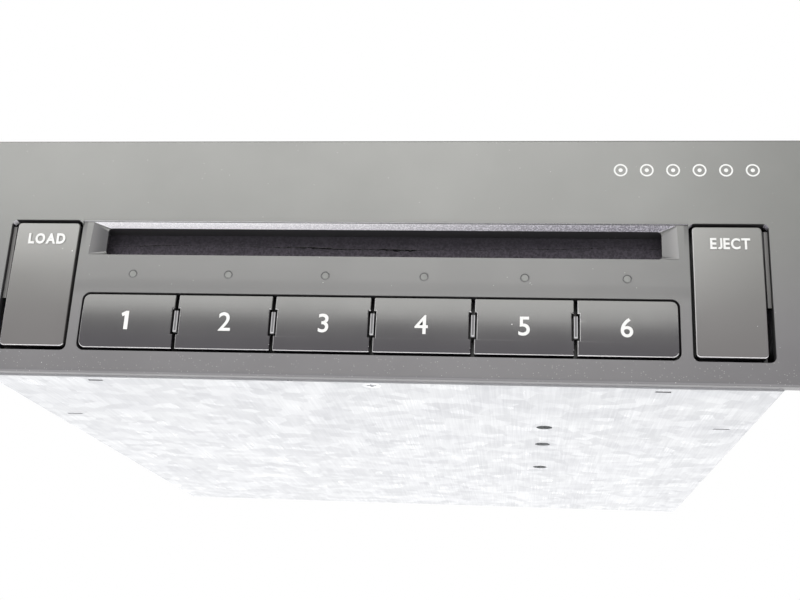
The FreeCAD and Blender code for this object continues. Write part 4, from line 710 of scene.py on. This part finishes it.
# %% [markdown]
# ## Dressing the construction
#
# A solid arrives as loose flat triangles, which show as facets on every fillet and round pin. So each part
# is replaced by a copy whose triangles are merged and shaded smooth wherever two of them meet at less than
# thirty degrees; sharp edges stay sharp. A flat face next to a fillet would then shade as if it bulged, so
# the normals are weighted by area, which lets the large face keep its own direction. The record of the
# construction says which finish a part takes. Four parts leave that rule: the two end keys have their own
# lacquer, the light pipes are a little paler than the front, and the plate between the keys has pillars
# with bright edges. The felt is left for its own cell.

# %% Dressing the construction
OWN_FINISH = {
    "load_key": "end_key_plastic",
    "eject_key": "end_key_plastic",
    "light_pipes": "pipe_plastic",
    "key_frame": "pillar_plastic",
}
slots = {row["node"]: row["material_slot"] for row in frame["record"]["subparts"]}
pieces = {}


def smooth_copy(name):
    """A merged copy of a construction piece, smooth but for its sharp edges."""
    select_only(frame["nodes"][name])
    bpy.ops.object.duplicate()
    piece = bpy.context.object
    piece.name = f"{name}_skin"
    bpy.ops.object.mode_set(mode="EDIT")
    bpy.ops.mesh.select_all(action="SELECT")
    bpy.ops.mesh.remove_doubles(threshold=1e-6)
    bpy.ops.mesh.dissolve_limited(angle_limit=math.radians(0.05))
    bpy.ops.object.mode_set(mode="OBJECT")
    if name in KEYS:
        refine_crown(piece)
    bpy.ops.object.shade_smooth_by_angle(angle=math.radians(30))
    if name == "fascia":
        keep_folds(piece)
    apply_modifier(piece, "WEIGHTED_NORMAL", keep_sharp=True, weight=100)
    return piece


for name in frame["nodes"]:
    if name == "dust_felts":
        continue
    piece = smooth_copy(name)
    dress(piece, OWN_FINISH.get(name, slots[name]))
    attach(piece, node_body[name])
    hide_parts(name)
    pieces[name] = piece
print(len(pieces), "parts dressed,", sum(len(p.data.polygons) for p in pieces.values()), "faces")

# %% [markdown]
# ## Threads of the lead screws
#
# The construction draws a lead screw as a plain rod of the thread's outer size. Here the rod is drawn in to
# the thread's root and the ridges are laid round it: one small trapezoid is carried along a helix by the
# Screw modifier, once for each start. The lead is the travel for one turn, so it comes from the coupling
# between the screw and the piece that it moves, and so does the hand: the tray stack rises as its screws
# turn anticlockwise, which asks for a left-hand thread.

# %% One ridge
LEADS = {row["joint"]: math.tau / row["ratio"] for row in frame["record"]["behaviour"]["couplings"]}
STARTS = 4
RIDGE_SHARE, BURIED = 0.7, 1.1
STEPS_A_TURN = 24


def ridge(radius, depth, lead, length, turn):
    """One helical ridge along +Z from the origin, with its ends closed."""
    select_only()
    bpy.ops.mesh.primitive_circle_add(vertices=4, radius=1)
    profile = bpy.context.object
    foot = lead / STARTS * RIDGE_SHARE
    root = radius - depth * BURIED
    trapezoid = [(root, 0), (radius, foot * 0.35), (radius, foot * 0.65), (root, foot)]
    for vertex, (reach, height) in zip(profile.data.vertices, trapezoid):
        vertex.co = (reach, 0, height)
    turns = (length - foot) / lead
    steps = round(STEPS_A_TURN * turns)
    helix = {"angle": turn * math.tau * turns, "screw_offset": lead * turns}
    apply_modifier(profile, "SCREW", axis="Z", steps=steps, render_steps=steps, **helix)
    bpy.ops.object.mode_set(mode="EDIT")
    bpy.ops.mesh.select_all(action="SELECT")
    bpy.ops.mesh.fill_holes(sides=4)
    bpy.ops.mesh.normals_make_consistent(inside=False)
    bpy.ops.object.mode_set(mode="OBJECT")
    bpy.ops.object.shade_smooth_by_angle(angle=math.radians(35))
    return profile


for joint in ("lift_screw_1_turn", "sled_screw_turn"):
    print(joint, "moves its piece", round(LEADS[joint] / MM, 2), "mm a turn")

# %% [markdown]
# ### A rod and its ridges
#
# The points on the skin of the rod are moved in to the root, so its ends and shoulders keep their places.
# The ridges are then turned to even angles and joined to one piece for each screw.

# %% Threads of the lead screws
def draw_in(rod, middle, upright, radius, depth):
    """Draws the skin of a rod in to its root, and gives the two ends of that skin along the rod."""
    back, span = upright.inverted(), []
    for vertex in rod.data.vertices:
        spot = back @ (vertex.co - middle)
        if abs(spot.xy.length - radius) < 0.02 * MM:
            span.append(spot.z)
            spot.xy *= (radius - depth) / spot.xy.length
            vertex.co = middle + upright @ spot
    return min(span), max(span)


def cut_thread(name, radius, depth, lead, turn, along="Z"):
    """Draws a rod in to its root and lays the ridges round it."""
    low, high = corners(pieces[name])
    middle = (low + high) / 2
    upright = Matrix.Rotation(math.radians(90), 4, "Y") if along == "X" else Matrix()
    start, end = draw_in(pieces[name], middle, upright, radius, depth)
    spot = Matrix.Translation(middle) @ upright @ Matrix.Translation((0, 0, start))
    ridges = [ridge(radius, depth, lead, end - start, turn) for _ in range(STARTS)]
    for index, piece in enumerate(ridges):
        piece.data.transform(spot @ Matrix.Rotation(math.tau * index / STARTS, 4, "Z"))
    select_only(*ridges)
    bpy.ops.object.join()
    thread = bpy.context.object
    thread.name = f"{name}_thread"
    dress(thread, slots[name])
    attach(thread, node_body[name])
    return len(thread.data.polygons)


LIFT_THREAD, SLED_THREAD = (2.5 * MM, 0.4 * MM), (1.2 * MM, 0.2 * MM)
LEFT_HAND, RIGHT_HAND = -1, 1
for number in range(1, 5):
    screw = f"lift_screw_{number}"
    print(screw, cut_thread(screw, *LIFT_THREAD, LEADS[f"{screw}_turn"], LEFT_HAND), "faces")
faces = cut_thread("sled_screw", *SLED_THREAD, LEADS["sled_screw_turn"], RIGHT_HAND, "X")
print("sled_screw", faces, "faces")

# %% [markdown]
# ## Felt in the slot
#
# Two strips of cut felt close the slot against dust and part as a disc passes. Cut felt is never straight:
# the edges wander and fray, the nap stands up, and the strips part a little in places. Each strip is a fine
# grid whose points are moved by layered waves and small chances, then given its thickness.

# %% Edge of the slit
felt_low, felt_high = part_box("dust_felts")
SLIT = (felt_low.z + felt_high.z) / 2
PARTINGS = ((-0.11, 0.07, 0.2), (0.035, 0.04, 0.27), (-0.41, 0.03, 0.14), (0.3, 0.05, 0.08))


def slit_edge(along, side):
    """Height of one side of the slit: both follow one wandering line and part only in places."""
    line = 0.55 - 0.35 * math.sin(along * 9 + 1.2)
    line += 0.07 * math.sin(along * 51 + 2) + 0.03 * math.sin(along * 190)
    parted = 0.02
    for middle, reach, width in PARTINGS:
        ripple = 0.75 + 0.25 * math.sin(along * 260)
        parted += width * math.exp(-(((along - middle) / reach) ** 2)) * ripple
    return SLIT + (line + side * parted) * MM


print("the slit lies", round(SLIT / MM, 2), "mm up and parts in", len(PARTINGS), "places")

# %% Felt in the slot
random.seed(6)
FELT_THICKNESS = 0.5 * MM
FELT_GRID = {"x_subdivisions": 600, "y_subdivisions": 14}
FRAY, NAP = (0, 0.05), (0.05, 0.2)


def felt_strip(name, edge, side):
    """A napped strip from a level edge to the slit; side is -1 below the slit and +1 above it."""
    select_only()
    bpy.ops.mesh.primitive_grid_add(size=1, **FELT_GRID)
    strip = bpy.context.object
    strip.name = name
    width = (felt_high.x - felt_low.x) * 0.999
    for vertex in strip.data.vertices:
        along, rise = vertex.co.x, vertex.co.y + 0.5
        fray = random.uniform(*FRAY) * MM if rise > 0.99 else 0
        slit = slit_edge(along, side) + side * fray
        nap = random.uniform(*NAP) * MM
        vertex.co = (along * width, felt_low.y + nap, edge + (slit - edge) * rise)
    strip.data.update()
    apply_modifier(strip, "SOLIDIFY", thickness=FELT_THICKNESS, offset=1)
    bpy.ops.object.mode_set(mode="EDIT")
    bpy.ops.mesh.select_all(action="SELECT")
    bpy.ops.mesh.normals_make_consistent(inside=False)
    bpy.ops.object.mode_set(mode="OBJECT")
    bpy.ops.object.shade_smooth_by_angle(angle=math.radians(60))
    back = felt_low.y + 0.02 * MM - corners(strip)[0].y
    strip.data.transform(Matrix.Translation((0, back, 0)))
    return strip


felts = [felt_strip("felt_lower", felt_low.z, -1), felt_strip("felt_upper", felt_high.z, 1)]
for strip in felts:
    dress(strip, "dark_felt")
    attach(strip, "chassis")
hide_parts("dust_felts")
print("felt strips:", [len(strip.data.polygons) for strip in felts], "faces")

# %% [markdown]
# ## Lips round the lamps
#
# The mould left a tiny raised lip round each light pipe. It stands only a few hundredths of a millimetre
# proud, yet it is what the eye reads as a ring, because its rounded top turns through every direction of
# the light. A torus pressed flat and sunk into the front gives just that.

# %% Lips round the lamps
LIP = {"major_radius": 0.98 * MM, "minor_radius": 0.15 * MM, "major_segments": 40, "minor_segments": 12}
LIP_SUNK = 0.078 * MM
FLAT = Matrix.Diagonal((1, 0.5, 1, 1))
UPRIGHT = Matrix.Rotation(math.radians(90), 4, "X")
for number, key in enumerate(DISC_KEYS, start=1):
    low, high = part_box(key)
    select_only()
    bpy.ops.mesh.primitive_torus_add(**LIP)
    lip = bpy.context.object
    lip.name = f"lamp_lip_{number}"
    spot = Matrix.Translation(((low.x + high.x) / 2, FRONT + LIP_SUNK, LAMP_LINE))
    lip.data.transform(spot @ FLAT @ UPRIGHT)
    lip.data.update()
    bpy.ops.object.shade_smooth()
    dress(lip, "front_plastic")
    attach(lip, "chassis")
print("six lips,", round(2 * LIP["major_radius"] / MM, 2), "mm across")

# %% [markdown]
# ## Printed legends
#
# The numbers and words are pad-printed in white ink a few hundredths of a millimetre thick. Most characters
# are typed: text is a curve in Blender, thickened a little with its offset because the built-in face is
# thin, then converted to a mesh. Two characters of that face do not suit a bold geometric legend, a numeral
# one without its flag and a J that drops below the line, so those are drawn as outlines. Every character is
# brought to the same cap height, set side by side, and turned to face the front.

# %% Characters
def arc(centre, radius, start, end, steps=14):
    """Points along a circle, with angles in degrees."""
    turns = [math.radians(start + (end - start) * step / steps) for step in range(steps + 1)]
    return [(centre[0] + radius * math.cos(turn), centre[1] + radius * math.sin(turn)) for turn in turns]


DRAWN = {
    "1": [(0.18, 0), (0.39, 0), (0.39, 1), (0.24, 1), (0.0, 0.87), (0.06, 0.7), (0.18, 0.76)],
    "J": [(0.22, 1), (0.42, 1), *arc((0.17, 0.25), 0.25, 0, -140), *arc((0.17, 0.25), 0.06, -140, 0)],
}


def drawn_character(outline):
    """A character from its outline, as a filled curve that is made a mesh."""
    curve = bpy.data.curves.new("outline", "CURVE")
    curve.dimensions, curve.fill_mode, curve.extrude = "2D", "BOTH", 0.5
    spline = curve.splines.new("POLY")
    spline.points.add(len(outline) - 1)
    for point, spot in zip(spline.points, outline):
        point.co = (*spot, 0, 1)
    spline.use_cyclic_u = True
    piece = bpy.data.objects.new("outline", curve)
    bpy.context.scene.collection.objects.link(piece)
    select_only(piece)
    bpy.ops.object.convert(target="MESH")
    return bpy.context.object


def typed_character(letter, weight):
    """A character of the built-in face, thickened by its offset."""
    select_only()
    bpy.ops.object.text_add()
    text = bpy.context.object.data
    text.body, text.offset, text.extrude, text.resolution_u = letter, weight, 0.5, 6
    bpy.ops.object.convert(target="MESH")
    return bpy.context.object


print("drawn as outlines:", ", ".join(DRAWN))


# %% A line of lettering
INK = 0.04 * MM
TRACKING = 0.09  # in cap heights; the letters themselves are one cap high and one unit thick


def write(name, words, centre, cap_height, weight, stretch=1.0):
    """Upright lettering on the front, centred on a point, as one mesh."""
    letters, reach = [], 0.0
    for letter in words:
        piece = drawn_character(DRAWN[letter]) if letter in DRAWN else typed_character(letter, weight)
        low, high = corners(piece)
        scale = 1 / (high.y - low.y)
        shift = Matrix.Translation((reach - low.x * scale * stretch, -low.y * scale, 0))
        piece.data.transform(shift @ Matrix.Diagonal((scale * stretch, scale, 1, 1)))
        reach += (high.x - low.x) * scale * stretch + TRACKING
        letters.append(piece)
    select_only(*letters)
    if len(letters) > 1:
        bpy.ops.object.join()
    legend = bpy.context.object
    legend.name = name
    low, high = corners(legend)
    shape = Matrix.Diagonal((cap_height, cap_height, INK, 1)) @ Matrix.Translation(-(low + high) / 2)
    legend.data.transform(Matrix.Translation(centre) @ UPRIGHT @ shape)
    legend.data.update()
    return legend


def put_on(piece, body, finish):
    """Inks a print, and lets it move with a body."""
    dress(piece, finish)
    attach(piece, body)


print("ink is", round(INK / MM, 2), "mm thick")

# %% [markdown]
# ### Where the legends stand
#
# A pad print never lands quite in the middle of its key, so each number drifts by a few tenths of a
# millimetre. The two words stand near the heads of their keys, and the first was inked a little heavier.

# %% Printed legends
PRINT_DRIFT = (-0.59, 0.24, 0.34, -0.17, 0.0, -0.27)
NUMBER_LINE, NUMBER_CAP, NUMBER_WEIGHT = 12.8 * MM, 4.4 * MM, 0.01
WORD_LINE, WORD_CAP, WORD_STRETCH = 32.7 * MM, 2.65 * MM, 0.86
WORDS = (("load_key", "LOAD", -78.55 * MM, 0.042), ("eject_key", "EJECT", 79.15 * MM, 0.028))
for number, (key, drift) in enumerate(zip(DISC_KEYS, PRINT_DRIFT), start=1):
    low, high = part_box(key)
    middle = Vector(((low.x + high.x) / 2 + drift * MM, low.y, NUMBER_LINE))
    legend = write(f"legend_{number}", str(number), middle, NUMBER_CAP, NUMBER_WEIGHT)
    put_on(legend, key, "print_white")
for key, words, across, weight in WORDS:
    middle = Vector((across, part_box(key)[0].y, WORD_LINE))
    legend = write(f"legend_{words.lower()}", words, middle, WORD_CAP, weight, WORD_STRETCH)
    put_on(legend, key, "print_white")
print("legends printed:", len(DISC_KEYS), "numbers and", len(WORDS), "words")

# %% [markdown]
# ## A row of discs
#
# The front carries one more print at its upper right: a plain row of six rings, one for each disc that the
# stack holds.

# %% A row of discs
ROW_START, ROW_END, ROW_LINE = 53.9 * MM, 86.5 * MM, 50.6 * MM
RING, STROKE = 3.1 * MM, 0.36 * MM


def clear_between(ring):
    """Deletes the bare band between the ring and the dot in its middle."""
    shape = bmesh.new()
    shape.from_mesh(ring.data)
    inner, outer = RING * 0.16, RING * 0.36
    bare = [face for face in shape.faces if inner < face.calc_center_median().xz.length < outer]
    bmesh.ops.delete(shape, geom=bare, context="FACES")
    shape.to_mesh(ring.data)
    shape.free()


for index in range(6):
    across = ROW_START + RING / 2 + (ROW_END - ROW_START - RING) * index / 5
    select_only()
    turn = (math.radians(90), 0, 0)
    bpy.ops.mesh.primitive_circle_add(vertices=48, radius=RING / 2, fill_type="NGON", rotation=turn)
    ring = bpy.context.object
    ring.name = f"disc_mark_{index + 1}"
    bpy.ops.object.transform_apply(location=False, rotation=True, scale=True)
    bpy.ops.object.mode_set(mode="EDIT")
    bpy.ops.mesh.select_all(action="SELECT")
    bpy.ops.mesh.inset(thickness=STROKE)
    bpy.ops.mesh.inset(thickness=2 * STROKE)
    bpy.ops.object.mode_set(mode="OBJECT")
    clear_between(ring)
    ring.data.transform(Matrix.Translation((across, FRONT, ROW_LINE)))
    apply_modifier(ring, "SOLIDIFY", thickness=INK, offset=0)
    put_on(ring, "chassis", "print_white")
print("six rings printed,", round(RING / MM, 1), "mm across")

# %% [markdown]
# ## Floor
#
# The stand is a plain pale floor that shows only from above. From below it is clear, so the eye can look up
# past it at the underside, as when a unit is held up against a bright wall. Only the eye and the mirror
# image in a surface see it, and so it neither blocks nor tints the light. The mirror image leaves out the
# part right under the unit, where the floor would darken the lower edges, and far out the floor fades away
# into the white.

# %% Floor
FLOOR_SIZE, FLOOR_DROP = 3.0, 0.3 * MM
MIRROR_FROM = 0.15
FADE_START, FADE_END = 0.35, 0.9
select_only()
bpy.ops.mesh.primitive_plane_add(size=FLOOR_SIZE, location=(0, 0, -FLOOR_DROP))
floor = bpy.context.object
floor.name = "floor"
floor_material, tree, shader = new_material("pale_floor", Roughness=0.9)
shader.inputs["Base Color"].default_value = tone(232, 232, 232)
reach = add(tree, "ShaderNodeVectorMath", {0: place(tree)}, operation="LENGTH").outputs["Value"]
ray = add(tree, "ShaderNodeLightPath").outputs
mirrored = calc(tree, "MULTIPLY", ray["Is Glossy Ray"], calc(tree, "GREATER_THAN", reach, MIRROR_FROM))
seen = calc(tree, "MAXIMUM", ray["Is Camera Ray"], mirrored)
behind = add(tree, "ShaderNodeNewGeometry").outputs["Backfacing"]
shown = calc(tree, "MULTIPLY", seen, calc(tree, "SUBTRACT", 1.0, behind))
shown = calc(tree, "MULTIPLY", shown, ramp(tree, reach, FADE_START, FADE_END, 1.0, 0.0))
clear = add(tree, "ShaderNodeBsdfTransparent").outputs[0]
blend = add(tree, "ShaderNodeMixShader", {0: shown, 1: clear, 2: shader.outputs[0]})
feed(tree, tree.nodes["Material Output"].inputs["Surface"], blend.outputs[0])
floor.data.materials.append(floor_material)
print("the floor fades out", FADE_END, "m from the middle")

# %% [markdown]
# ## Light
#
# The world is white wherever the eye or a reflection meets it and half as bright where it only lights. Four
# large soft lamps do the rest: one in front and above, which the face of the unit mirrors as its grey
# sheen, one below, one low behind, which the underside mirrors, and a weak one above and behind for the
# rear.

# %% World
AMBIENT = 0.5
world = bpy.context.scene.world or bpy.data.worlds.new("world")
bpy.context.scene.world = world
world.use_nodes = True
sky = world.node_tree
path = add(sky, "ShaderNodeLightPath").outputs
direct = calc(sky, "MAXIMUM", path["Is Camera Ray"], path["Is Glossy Ray"])
direct = calc(sky, "MAXIMUM", direct, path["Is Transmission Ray"])
strength = ramp(sky, direct, 0.0, 1.0, AMBIENT, 1.0, smooth=False)
feed(sky, sky.nodes["Background"].inputs["Color"], (1.0, 1.0, 1.0, 1.0))
feed(sky, sky.nodes["Background"].inputs["Strength"], strength)
print("the world lights with a strength of", AMBIENT)


# %% Lamps
WHITE, WARM_WHITE = (1.0, 1.0, 1.0), (1.0, 0.995, 0.965)


def softbox(name, spot, aim, width, height, watts, colour=WHITE):
    """A rectangular lamp that faces a point."""
    bpy.ops.object.light_add(type="AREA", location=spot)
    lamp = bpy.context.object
    lamp.name = name
    lamp.data.shape = "RECTANGLE"
    lamp.data.size, lamp.data.size_y = width, height
    lamp.data.energy, lamp.data.color = watts, colour
    lamp.rotation_mode = "QUATERNION"
    lamp.rotation_quaternion = (Vector(aim) - Vector(spot)).to_track_quat("-Z", "Y")


softbox("front_softbox", (-0.225, -0.7, 0.479), (0, -0.09, 0.02), 1.03, 0.43, 5.15, WARM_WHITE)
softbox("table_glow", (-0.05, -0.3, -0.5), (0, -0.05, 0.02), 1.6, 1.2, 7.5)
softbox("low_wall_glow", (-0.19, 1.3, -0.27), (0, 0, 0), 1.8, 0.6, 2.3)
softbox("rear_softbox", (0.25, 0.7, 0.55), (0, 0.05, 0.03), 0.6, 0.5, 0.8)
print("lamps:", len(bpy.data.lights))
